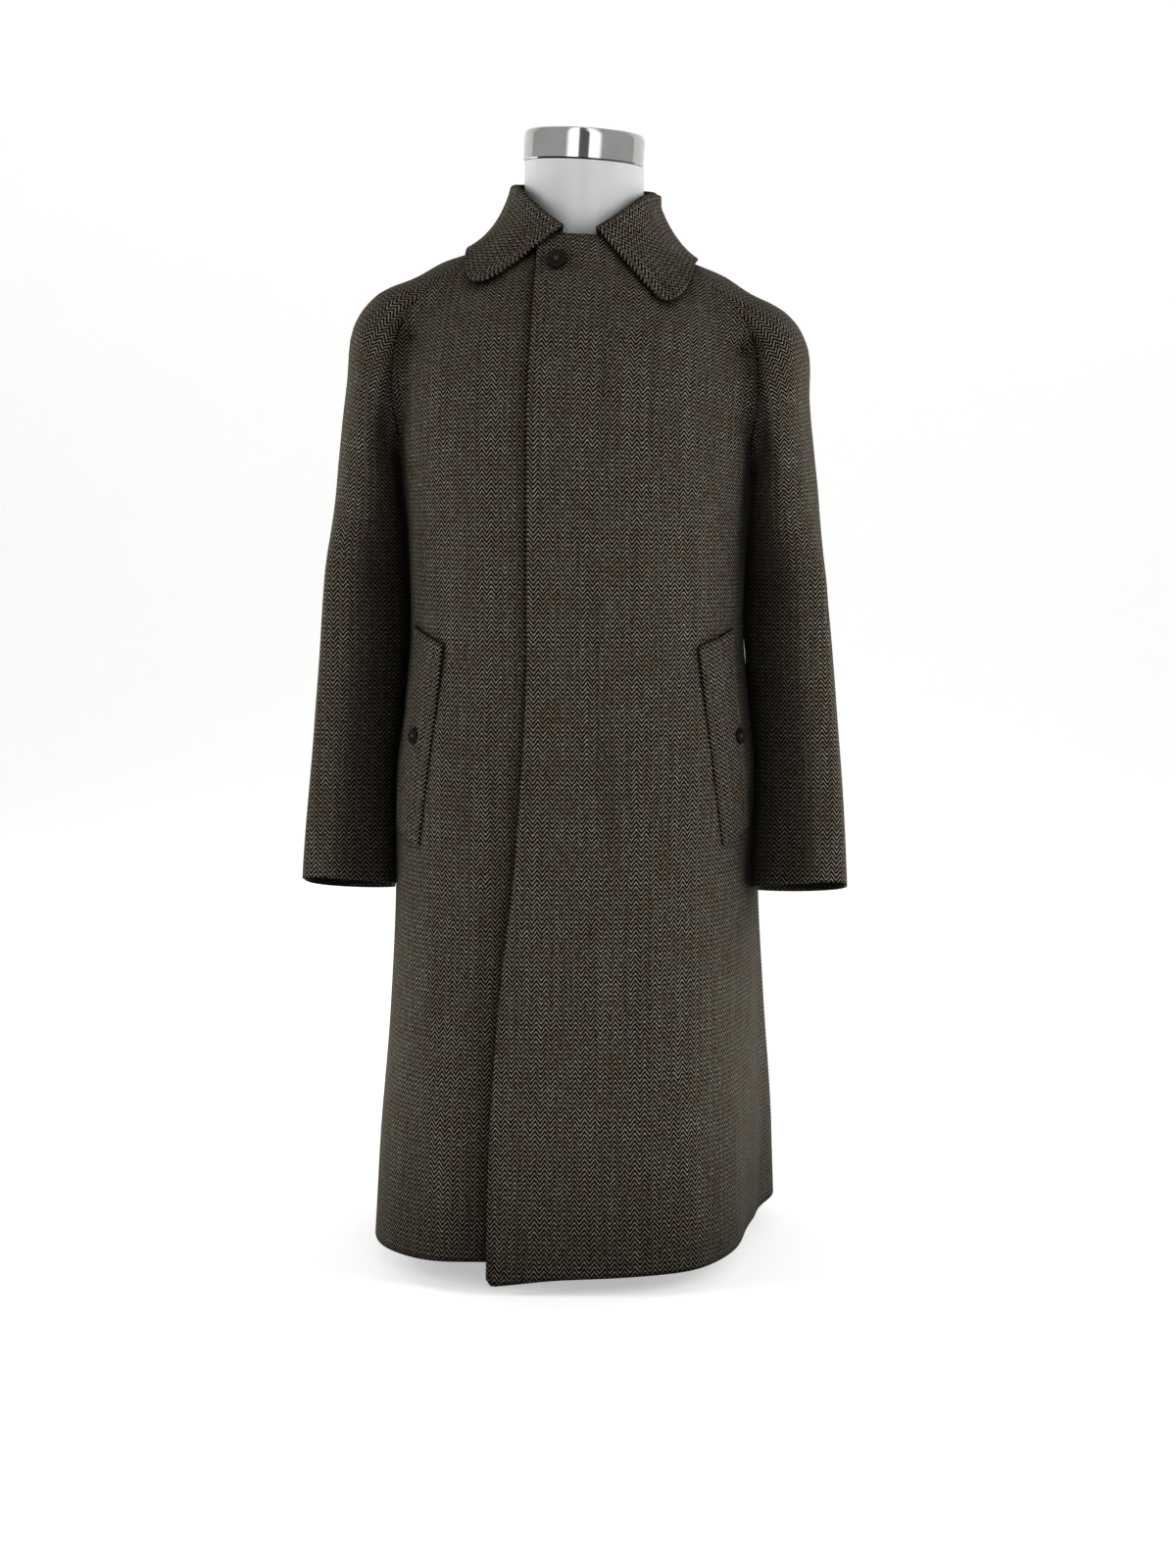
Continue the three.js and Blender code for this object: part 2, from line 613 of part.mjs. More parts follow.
// One front, from its free edge round to the side and raglan seams. Its angles are measured towards
// its own side: 1 is the wearer's left, -1 the wearer's right.
const FRONT_COLUMNS = 12;
function frontGrid(side, edgeRows, hemRows, raised) {
  const edgeX = column(edgeRows, "z", "x");
  const hemHeight = column(hemRows, "angle", "z");
  const edgeAt = (z) => [angleOfX(edgeX(z), z, side), z];
  const seam = [...sideSeam(hemRows[hemRows.length - 1].z), ...raglanFront.slice(0, -1).reverse().map(placeOf)];
  const edge = seam.map(([, z], j) =>
    edgeAt(j <= SIDE_STEPS ? z : mix(ARMPIT.z, NECKLINE_FRONT, (j - SIDE_STEPS) / RAGLAN_STEPS)),
  );
  const columns = steps(FRONT_COLUMNS, (t) => t * (0.75 + 0.25 * t));
  const hem = columns.map((t) => {
    const angle = mix(edge[0][0], seam[0][0], t);
    const round = clamp(1 - ((angle - edge[0][0]) * 200) / HEM_CORNER, 0, 1);
    return [angle, hemHeight(angle / DEG) + HEM_CORNER * (1 - Math.sqrt(1 - round * round))];
  });
  const neckline = columns.map((t) => {
    const angle = mix(edgeAt(NECKLINE_FRONT)[0], RAGLAN_FRONT_ANGLE * DEG, t);
    return [angle, necklineHeight(angle)];
  });
  edge[0] = hem[0];
  edge[edge.length - 1] = neckline[0];
  const places = patch(hem, neckline, edge, seam);
  return places.map((row, j) =>
    row.map(([angle, z], i) => {
      const cell = bodyCell([side * angle, z]);
      if (i === FRONT_COLUMNS && j >= SIDE_STEPS) cell.point = handed(raglanPoint(raglanFront, j), side);
      cell.raise = raised ? overlapRaise(cell.point.x) : 0;
      return cell;
    }),
  );
}
const handed = (p, side) => new THREE.Vector3(side * p.x, p.y, p.z);

// The raglan seam's point in a body panel's row, or the armpit in the row where it starts.
const raglanPoint = (raglan, j) =>
  j === SIDE_STEPS ? bodyPoint(ARMPIT.angle, ARMPIT.z) : raglan[SIDE_STEPS + RAGLAN_STEPS - j];

// The back, from one side seam round to the other.
const BACK_COLUMNS = 20;
function backGrid() {
  const boundary = (hemHeight) => [
    ...sideSeam(hemHeight),
    ...raglanBack.slice(0, -1).reverse().map(placeOf),
  ];
  const near = boundary(BACK_HEM[0]);
  const far = boundary(BACK_HEM[1]).map(([angle, z]) => [2 * Math.PI - angle, z]);
  const across = (low, height) =>
    steps(BACK_COLUMNS, (t) => {
      const angle = mix(low, 2 * Math.PI - low, t);
      return [angle, height(angle, t)];
    });
  const hem = across(near[0][0], (_, t) => mix(...BACK_HEM, t));
  const neckline = across(near[near.length - 1][0], necklineHeight);
  const places = patch(hem, neckline, near, far);
  return places.map((row, j) =>
    row.map((place, i) => {
      const cell = bodyCell(place);
      const side = i === 0 ? 1 : -1;
      if (j >= SIDE_STEPS && i % BACK_COLUMNS === 0) cell.point = handed(raglanPoint(raglanBack, j), side);
      return cell;
    }),
  );
}

// Half a sleeve, from the overarm seam round to the raglan and underarm seams.
const SLEEVE_COLUMNS = 9;
const CUFF_STEPS = 12;
function sleeveGrid(raglan, raglanAngle, side) {
  const reach = (p) => {
    const place = sleevePlace(p);
    const turned = side > 0 && place.angle > 90 * DEG ? place.angle - 2 * Math.PI : place.angle;
    return [place.at, side < 0 && turned < -60 * DEG ? turned + 2 * Math.PI : turned, place.share];
  };
  const armpitAt = reach(raglan[raglan.length - 1])[0];
  const inner = -side * Math.PI;
  const under = steps(CUFF_STEPS, (t) => [mix(armpitAt, 1, t), inner, 1]);
  const seam = [...raglan.slice(0, -1).map(reach), ...under];
  const shoulder = reach(necklinePoint(SHOULDER_ANGLE * DEG));
  const over = seam.map(([at], j) => {
    const share = j / RAGLAN_STEPS;
    const place = j < RAGLAN_STEPS ? mix(shoulder[0], armpitAt, share) : at;
    const settled = smoothstep(0, 0.55, share);
    return [place, mix(shoulder[1], OVERARM_ANGLE * DEG, settled), mix(shoulder[2], 1, settled)];
  });
  const neckline = steps(SLEEVE_COLUMNS, (t) => reach(necklinePoint(mix(SHOULDER_ANGLE, raglanAngle, t) * DEG)));
  const cuff = steps(SLEEVE_COLUMNS, (t) => [1, mix(OVERARM_ANGLE * DEG, inner, t), 1]);
  const places = patch(neckline, cuff, over, seam);
  return places.map((row, j) =>
    row.map(([at, angle, share], i) => {
      const guess = sleevePoint(at, angle, share);
      const exact = j === 0 ? necklinePoint(mix(SHOULDER_ANGLE, raglanAngle, i / SLEEVE_COLUMNS) * DEG) : null;
      const sewn = i === SLEEVE_COLUMNS && j <= RAGLAN_STEPS ? raglan[j].clone() : null;
      const point = exact || sewn || settle(sleeveSurface, guess);
      const surface = point.z > ARMPIT.z + 3 ? blended : sleeveDistance;
      const own = normalAt(point.z > 1050 ? bodyDistance : sleeveDistance, point);
      const shared = normalAt(surface, point);
      return { point, normal: own.lerp(shared, smoothstep(ARMPIT.z, ARMPIT.z + 30, point.z)).normalize() };
    }),
  );
}

// The collar's section at an angle: from the neckline up the stand, over the roll line, out to the edge.
const collarColumn = Object.fromEntries(
  ["height", "x", "y", "z", "lift"].map((name) => [name, column(COLLAR, "angle", name)]),
);
function collarSection(angle) {
  const foot = necklinePoint(angle * DEG);
  const outward = normalAt(bodyDistance, foot).setZ(0).normalize();
  foot.addScaledVector(outward, -CLOTH / 2);
  const height = collarColumn.height(angle);
  const crest = foot.clone().addScaledVector(outward, -COLLAR_LEAN * height);
  crest.z += height;
  const [x, y, z] = ["x", "y", "z"].map((name) => collarColumn[name](angle));
  const edge = settle(blended, new THREE.Vector3(x, y, z));
  edge.addScaledVector(normalAt(blended, edge), collarColumn.lift(angle));
  return { foot, crest, edge, outward };
}

// A point of the fold at the roll line: turn runs from 0 on the stand's side to 180 on the leaf's.
function foldPoint({ crest, outward }, turn) {
  const point = crest.clone().addScaledVector(outward, -COLLAR_FOLD * Math.cos(turn * DEG));
  point.z += COLLAR_FOLD * (Math.sin(turn * DEG) - 1);
  return point;
}

const COLLAR_STEPS = 44;
const LEAF_STEPS = 6;
const collarAngles = steps(COLLAR_STEPS, (t) => {
  const ends = 0.5 - 0.5 * Math.cos(Math.PI * t);
  return mix(COLLAR_FRONT, 360 - COLLAR_FRONT, mix(t, ends, 0.7));
});

function leafPoints(angle) {
  const section = collarSection(angle);
  const start = foldPoint(section, 180);
  const length = start.distanceTo(section.edge);
  const fromEnd = Math.min(angle, 360 - angle) - COLLAR_FRONT;
  const round = clamp(1 - (fromEnd * 2.4) / COLLAR_TIP, 0, 1);
  const cut = (COLLAR_TIP * (1 - Math.sqrt(1 - round * round))) / length;
  const fold = [6, 40, 75, 110, 145].map((turn) => foldPoint(section, turn));
  const fall = steps(LEAF_STEPS, (t) => {
    const share = t * (1 - cut);
    const point = start.clone().lerp(section.edge, share);
    const dip = 4 * share * (1 - share) * COLLAR_SAG;
    point.addScaledVector(section.outward, -dip * 0.6);
    point.z -= dip * 0.8;
    const layers = overlapRaise(point.x) * smoothstep(-60, -46, point.x);
    const short = COLLAR_CLEAR + layers - blended(point);
    if (short > 0) point.addScaledVector(normalAt(blended, point), short);
    return point;
  });
  return [...fold, ...fall];
}

function standPoints(angle) {
  const section = collarSection(angle);
  const top = foldPoint(section, 0);
  top.z -= 4 * SEAM_GAP;
  const foot = section.foot.clone();
  foot.z += SEAM_GAP;
  return steps(2, (t) => foot.clone().lerp(top, t));
}

// Adds normals to a plain grid of points, from its own faces.
function withNormals(points) {
  const [rows, columns] = [points.length, points[0].length];
  return points.map((row, j) =>
    row.map((point, i) => {
      const along = points[Math.min(j + 1, rows - 1)][i].clone().sub(points[Math.max(j - 1, 0)][i]);
      const across = row[Math.min(i + 1, columns - 1)].clone().sub(row[Math.max(i - 1, 0)]);
      return { point, normal: across.cross(along).normalize() };
    }),
  );
}

// A pocket welt: a slanted strip on the body surface.
const WELT_COLUMNS = 4;
const WELT_ROWS = 12;
function weltGrid(side) {
  return steps(WELT_ROWS, (v) => {
    const [x, z] = [mix(WELT_BOTTOM.x, WELT_TOP.x, v), mix(WELT_BOTTOM.z, WELT_TOP.z, v)];
    const inner = angleOfX(x, z, side);
    const turn = WELT_WIDTH / bodyRadius(side * inner, z);
    return steps(WELT_COLUMNS, (u) => bodyCell([side * (inner + turn * u), z + WELT_RISE * u]));
  });
}

// A sewn-through button: a dished disc with four holes, its back on the local XY plane.
function buttonGeometry({ radius, thick }) {
  const shape = new THREE.Shape();
  shape.absarc(0, 0, radius - 0.5, 0, 2 * Math.PI);
  const hole = radius * 0.24;
  for (const [x, y] of [[hole, hole], [-hole, hole], [-hole, -hole], [hole, -hole]]) {
    const path = new THREE.Path();
    path.absarc(x, y, radius * 0.12, 0, 2 * Math.PI, true);
    shape.holes.push(path);
  }
  const geometry = new THREE.ExtrudeGeometry(shape, {
    depth: thick - 1,
    bevelThickness: 0.5,
    bevelSize: 0.5,
    bevelSegments: 1,
    curveSegments: 6,
  });
  return geometry.translate(0, 0, 0.5);
}

// Adds a button whose back clears the cloth by a distance, facing out of it.
function addButton(name, button, clearance, side) {
  const cell = bodyCell([side * angleOfX(button.x, button.z, side), button.z]);
  const mesh = add(name, buttonGeometry(button), horn);
  mesh.position.copy(leaning(cell.point.addScaledVector(cell.normal, clearance)));
  mesh.quaternion.setFromUnitVectors(new THREE.Vector3(0, 0, 1), cell.normal);
}

// The torso and neck: stacked rings, kept inside the cloth that rests on the shoulders.
const FORM_SIDES = 30;
function torsoGeometry() {
  const torso = sections(TORSO);
  const heights = [
    396, 399, 405, 420, 450, 500, 560, 620, 680, 740, 800, 850, 890, 920, 944, 962, 976, 988, 998,
    1007, 1016, 1026, 1038, 1050, 1062, 1074, 1090, 1110, 1141.7,
  ];
  const limit = CLOTH - SKIN + FORM_EASE;
  const rings = heights.map((z) =>
    Array.from({ length: FORM_SIDES }, (_, i) => {
      const angle = (i * 2 * Math.PI) / FORM_SIDES;
      const r = torso.radius(angle, z);
      const p = new THREE.Vector3(r * Math.sin(angle), -r * Math.cos(angle), z);
      if (z < 860 || z > 1070) return p;
      const foot = settle(blended, p);
      const normal = normalAt(blended, foot);
      const depth = foot.clone().sub(p).dot(normal);
      return depth > limit ? p : foot.addScaledVector(normal, -limit);
    }),
  );
  return stacked(rings);
}

// A closed skin through rings of equal length, with a flat lid at each end.
function stacked(rings) {
  const sides = rings[0].length;
  const positions = rings.flat().flatMap((p) => leaning(p).toArray());
  const [bottom, top] = [rings[0][0].z, rings[rings.length - 1][0].z];
  const low = rings.length * sides;
  positions.push(...leaning(new THREE.Vector3(0, 0, bottom)).toArray());
  positions.push(...leaning(new THREE.Vector3(0, 0, top)).toArray());
  const triangles = [];
  for (let i = 0; i < sides; i++) {
    const next = (i + 1) % sides;
    triangles.push(low, next, i);
    const last = (rings.length - 1) * sides;
    triangles.push(low + 1, last + i, last + next);
    for (let j = 0; j < rings.length - 1; j++) {
      const [a, b] = [j * sides, (j + 1) * sides];
      triangles.push(a + i, a + next, b + next, a + i, b + next, b + i);
    }
  }
  return solid(positions, triangles);
}

// A round piece about the Z axis, from a profile of [radius, height] points.
const ROUND_SIDES = 40;
function turned(profile, sides = ROUND_SIDES) {
  return new THREE.LatheGeometry(profile.map((point) => new THREE.Vector2(...point)), sides).rotateX(Math.PI / 2);
}

// A disc's profile from height 0, with a rounded upper corner.
function discProfile({ radius, high, round = 0 }) {
  const corner = steps(round > 0 ? 3 : 0, (t) => {
    const turn = t * 90 * DEG;
    return [radius - round + round * Math.cos(turn), high - round + round * Math.sin(turn)];
  });
  return [[0, 0], [radius, 0], ...corner, [0, high]];
}

const wool = new THREE.MeshStandardMaterial({ color: 0x4a4238, roughness: 0.95, metalness: 0 });
const horn = new THREE.MeshStandardMaterial({ color: 0x2b211b, roughness: 0.4, metalness: 0 });
const plastic = new THREE.MeshStandardMaterial({ color: 0xd8dcdc, roughness: 0.3, metalness: 0 });
const chrome = new THREE.MeshStandardMaterial({ color: 0xc8c8c8, roughness: 0.1, metalness: 1 });

const model = new THREE.Group();
function add(name, geometry, material) {
  const mesh = new THREE.Mesh(geometry, material);
  mesh.name = name;
  model.add(mesh);
  return mesh;
}

const sleeveFront = sleeveGrid(raglanFront, RAGLAN_FRONT_ANGLE, -1);
const sleeveBack = sleeveGrid(raglanBack, RAGLAN_BACK_ANGLE, 1);
const leaf = withNormals(collarAngles.map(leafPoints));
const stand = withNormals(collarAngles.map(standPoints));
const weltRaise = 3 * SEAM_GAP + WELT_CLOTH;

add("front_left", wall(frontGrid(1, OVERLAP_EDGE, OVERLAP_HEM, true)), wool);
add("front_right", wall(frontGrid(-1, UNDERLAP_EDGE, UNDERLAP_HEM, false)), wool);
add("back", wall(backGrid()), wool);
for (const [hand, side] of [["left", 1], ["right", -1]]) {
  add(`sleeve_front_${hand}`, wall(sleeveFront, { side }), wool);
  add(`sleeve_back_${hand}`, wall(sleeveBack, { side }), wool);
  add(`welt_${hand}`, wall(weltGrid(side), { outer: SKIN + weltRaise, thickness: WELT_CLOTH }), wool);
  const button = { ...POCKET_BUTTON, x: POCKET_BUTTON[hand] };
  addButton(`button_pocket_${hand}`, button, SKIN + weltRaise + SEAM_GAP, side);
}
add("collar_leaf", wall(leaf, { outer: CLOTH / 2 }), wool);
add("collar_stand", wall(stand, { outer: STAND_CLOTH / 2, thickness: STAND_CLOTH }), wool);
addButton("button_neck", NECK_BUTTON, SKIN + CLOTH + LAYER_GAP + 2 * SEAM_GAP, 1);
add("torso", torsoGeometry(), plastic);
const cap = add("neck_cap", turned(discProfile(CAP)), chrome);
cap.rotation.y = Math.atan(LEAN.tilt + LEAN.neck);
cap.position.set(-1, 0, CAP.at + 0.06);
add("socket", turned(discProfile(SOCKET), 28), chrome).position.set(LEAN.shift, 0, SOCKET.at);
add("pole", turned(discProfile(POLE), 20), chrome).position.set(LEAN.shift, 0, POLE.at);
add("base", turned(discProfile(BASE)), chrome).position.set(LEAN.shift, BASE.back, BASE.at);

for (const mesh of model.children) {
  mesh.position.x -= MIDDLE.x;
  mesh.position.y -= MIDDLE.y;
}
export default model;
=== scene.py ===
"""A knee-length wool overcoat with raglan sleeves, worn by a limbless shop form on a low stand.

The coat is worked out in millimetres on one garment surface and made in metres, in the frame of the
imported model: +Z up, the floor at 0, the coat's front towards -Y and the wearer's left towards +X.
"""
import math

import bmesh
import bpy
import numpy as np
from mathutils import Matrix, Vector


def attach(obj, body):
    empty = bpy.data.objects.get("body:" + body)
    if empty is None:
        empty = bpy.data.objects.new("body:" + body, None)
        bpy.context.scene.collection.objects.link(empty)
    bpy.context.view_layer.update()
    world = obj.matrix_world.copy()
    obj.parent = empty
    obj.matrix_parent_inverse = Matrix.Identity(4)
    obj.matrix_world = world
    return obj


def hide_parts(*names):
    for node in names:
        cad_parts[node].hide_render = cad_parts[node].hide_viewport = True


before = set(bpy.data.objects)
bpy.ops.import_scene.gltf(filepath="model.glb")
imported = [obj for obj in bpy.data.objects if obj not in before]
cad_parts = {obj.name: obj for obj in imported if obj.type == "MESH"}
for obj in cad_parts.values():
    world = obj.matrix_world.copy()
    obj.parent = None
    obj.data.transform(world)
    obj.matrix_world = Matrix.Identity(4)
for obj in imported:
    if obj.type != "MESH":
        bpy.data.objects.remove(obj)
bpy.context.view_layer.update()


# The camera stands level with the chest, a little to the wearer's left and dipped by two degrees.
# A small rise of the lens frames the whole coat, as in the photograph.
VIEW_PLACE = (0.1836, -2.8809, 0.8360)
VIEW_TURN = math.radians(3.43)
VIEW_DIP = math.radians(2)
lens = bpy.data.cameras.new("studio_camera")
lens.sensor_width = 36
lens.lens = 62.57
lens.shift_y = -0.1488
camera = bpy.data.objects.new("studio_camera", lens)
camera.location = VIEW_PLACE
camera.rotation_euler = (math.pi / 2 - VIEW_DIP, 0, VIEW_TURN)
bpy.context.scene.collection.objects.link(camera)
bpy.context.scene.camera = camera


# The torso form: a glossy, slightly translucent white moulding, closed at the neck under the cap.
# Only its neck shows. It takes the solid's shape, smoothed.
DEG = math.pi / 180


def nodes_of(material):
    """The material's shader and a maker of further nodes with their plain values."""
    material.use_nodes = True
    tree = material.node_tree
    shader = tree.nodes["Principled BSDF"]

    def add(kind, values=(), **settings):
        node = tree.nodes.new("ShaderNode" + kind)
        for key, value in settings.items():
            setattr(node, key, value)
        for key, value in dict(values).items():
            if isinstance(value, bpy.types.NodeSocket):
                tree.links.new(value, node.inputs[key])
            else:
                node.inputs[key].default_value = value
        return node

    return tree, shader, add


def colours(add, factor, stops):
    """A colour ramp over a factor, from (place, colour) stops."""
    ramp = add("ValToRGB", {"Fac": factor})
    while len(ramp.color_ramp.elements) < len(stops):
        ramp.color_ramp.elements.new(0.5)
    for element, (place, colour) in zip(ramp.color_ramp.elements, stops):
        element.position = place
        element.color = (*colour, 1)
    return ramp.outputs["Color"]


def dress(piece, material, replaced=()):
    """Gives a piece its material, hangs it from the frame's root and hides any parts it replaces."""
    piece.data.materials.clear()
    piece.data.materials.append(material)
    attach(piece, "root")
    if replaced:
        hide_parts(*replaced)


def finished(name, made, smooth=True):
    """A piece from a bmesh, with its faces smooth."""
    mesh = bpy.data.meshes.new(name)
    for face in made.faces:
        face.smooth = smooth
    made.to_mesh(mesh)
    made.free()
    piece = bpy.data.objects.new(name, mesh)
    bpy.context.scene.collection.objects.link(piece)
    return piece


moulding = bpy.data.materials.new("white_moulding")
tree, shader, add = nodes_of(moulding)
place = add("TexCoord").outputs["Object"]
cloud = add("TexNoise", {"Vector": place, "Scale": 14, "Detail": 3}).outputs["Fac"]
speck = add("TexNoise", {"Vector": place, "Scale": 900, "Detail": 1}).outputs["Fac"]
tone = colours(add, cloud, [(0.3, (0.50, 0.515, 0.505)), (0.7, (0.55, 0.565, 0.555))])
tree.links.new(tone, shader.inputs["Base Color"])
gloss = add("MapRange", {"Value": cloud, "To Min": 0.38, "To Max": 0.5}).outputs["Result"]
tree.links.new(gloss, shader.inputs["Roughness"])
dimple = add("Bump", {"Height": speck, "Distance": 0.00006, "Strength": 0.6}).outputs["Normal"]
tree.links.new(dimple, shader.inputs["Normal"])
shader.inputs["Subsurface Weight"].default_value = 0.25
shader.inputs["Subsurface Radius"].default_value = (0.02, 0.018, 0.017)
shader.inputs["Coat Weight"].default_value = 0.3

form_mesh = bmesh.new()
form_mesh.from_mesh(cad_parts["torso"].data)
bmesh.ops.remove_doubles(form_mesh, verts=form_mesh.verts, dist=1e-6)
bmesh.ops.dissolve_limit(
    form_mesh, angle_limit=0.5 * DEG, verts=form_mesh.verts, edges=form_mesh.edges
)
for edge in form_mesh.edges:
    edge.smooth = edge.calc_face_angle(0) < 60 * DEG
torso_form = finished("torso_form", form_mesh)
dress(torso_form, moulding, ["torso"])


# The cap, pole, socket and base: chromed steel turnings that carry the form. Polished all over,
# with faint turning marks and the small scratches of a shop.
FULL_TURN = 96

chrome = bpy.data.materials.new("polished_chrome")
tree, shader, add = nodes_of(chrome)
place = add("TexCoord").outputs["Object"]
rubbed = add("TexNoise", {"Vector": place, "Scale": 35, "Detail": 6}).outputs["Fac"]
stretch = add("Mapping", {"Vector": place, "Scale": (30, 30, 1800)}).outputs["Vector"]
marks = add("TexNoise", {"Vector": stretch, "Scale": 1, "Detail": 2}).outputs["Fac"]
tone = colours(add, rubbed, [(0.35, (0.56, 0.57, 0.55)), (0.65, (0.62, 0.63, 0.61))])
tree.links.new(tone, shader.inputs["Base Color"])
gloss = add("MapRange", {"Value": rubbed, "To Min": 0.04, "To Max": 0.13}).outputs["Result"]
tree.links.new(gloss, shader.inputs["Roughness"])
dimple = add("Bump", {"Height": marks, "Distance": 0.00001, "Strength": 0.3}).outputs["Normal"]
tree.links.new(dimple, shader.inputs["Normal"])
shader.inputs["Metallic"].default_value = 1


def turning(name, profile, at=(0, 0, 0), tilt=0.0):
    """A solid of revolution from (radius, height) points in millimetres, closed on its axis."""
    made = bmesh.new()
    corners = [made.verts.new((radius / 1000, 0, height / 1000)) for radius, height in profile]
    edges = [made.edges.new(pair) for pair in zip(corners, corners[1:])]
    bmesh.ops.spin(
        made, geom=corners + edges, axis=(0, 0, 1), cent=(0, 0, 0), steps=FULL_TURN,
        angle=2 * math.pi, use_merge=True,
    )
    bmesh.ops.remove_doubles(made, verts=made.verts, dist=1e-6)
    bmesh.ops.recalc_face_normals(made, faces=made.faces)
    for edge in made.edges:
        edge.smooth = edge.calc_face_angle(0) < 32 * DEG
    turn = Matrix.Translation([v / 1000 for v in at]) @ Matrix.Rotation(tilt, 4, "Y")
    bmesh.ops.transform(made, matrix=turn, verts=made.verts)
    return finished(name, made)


def rounded(corner_radius, corner_height, radius, steps=6):
    """Points of a quarter round that ends a disc's side at a corner."""
    turns = [i * 90 * DEG / steps for i in range(steps + 1)]
    return [
        (corner_radius - radius + radius * math.cos(t), corner_height - radius + radius * math.sin(t))
        for t in turns
    ]


CAP_TURN = math.atan(0.06)
cap_profile = [(0, 0.2), (62.6, 0.2), (64, 1.6), (64, 2.4), (64, 27), (64, 27.8), (63.6, 28.6), (63.6, 29.2)]
cap_profile += rounded(63.2, 33, 3.2)
cap_profile += [(40, 33), (18, 33), (17.4, 32.6), (16.2, 32.6), (15.6, 33), (0, 33)]
cap_piece = turning("neck_cap_turning", cap_profile, (6, -1, 1142.06), CAP_TURN)
dress(cap_piece, chrome, ["neck_cap"])
socket_profile = [(0, 0), (33, 0), (34, 1), (34, 12)] + rounded(34, 17.7, 2) + [(22, 17.7), (0, 17.7)]
dress(turning("socket_turning", socket_profile, (0, -1, 378)), chrome, ["socket"])
pole_profile = [(0, 0), (16, 0), (16, 120), (15.7, 120.4), (15.7, 121.4), (16, 121.8), (16, 365.4), (0, 365.4)]
dress(turning("pole_tube", pole_profile, (0, -1, 12.3)), chrome, ["pole"])
base_profile = [(0, 0), (126, 0), (128, 1), (130, 3)] + rounded(130, 12, 3)
base_profile += [(118, 12), (117, 11.6), (115, 11.6), (114, 12), (24, 12), (0, 12)]
dress(turning("base_plate", base_profile, (0, 45, 0)), chrome, ["base"])


# The cloth: a brown, black and cream herringbone tweed of 3 mm with its canvas, woven in chevrons
# 10 mm wide. Soft rust, olive and grey yarns cloud it, its nap greys the turned-away parts, and painted
# shade darkens its colour in creases, under raised edges and between the sleeves and the body.
CHEVRON = 0.0099
TWILL = 0.0048
TWILL_RISE = 1.4


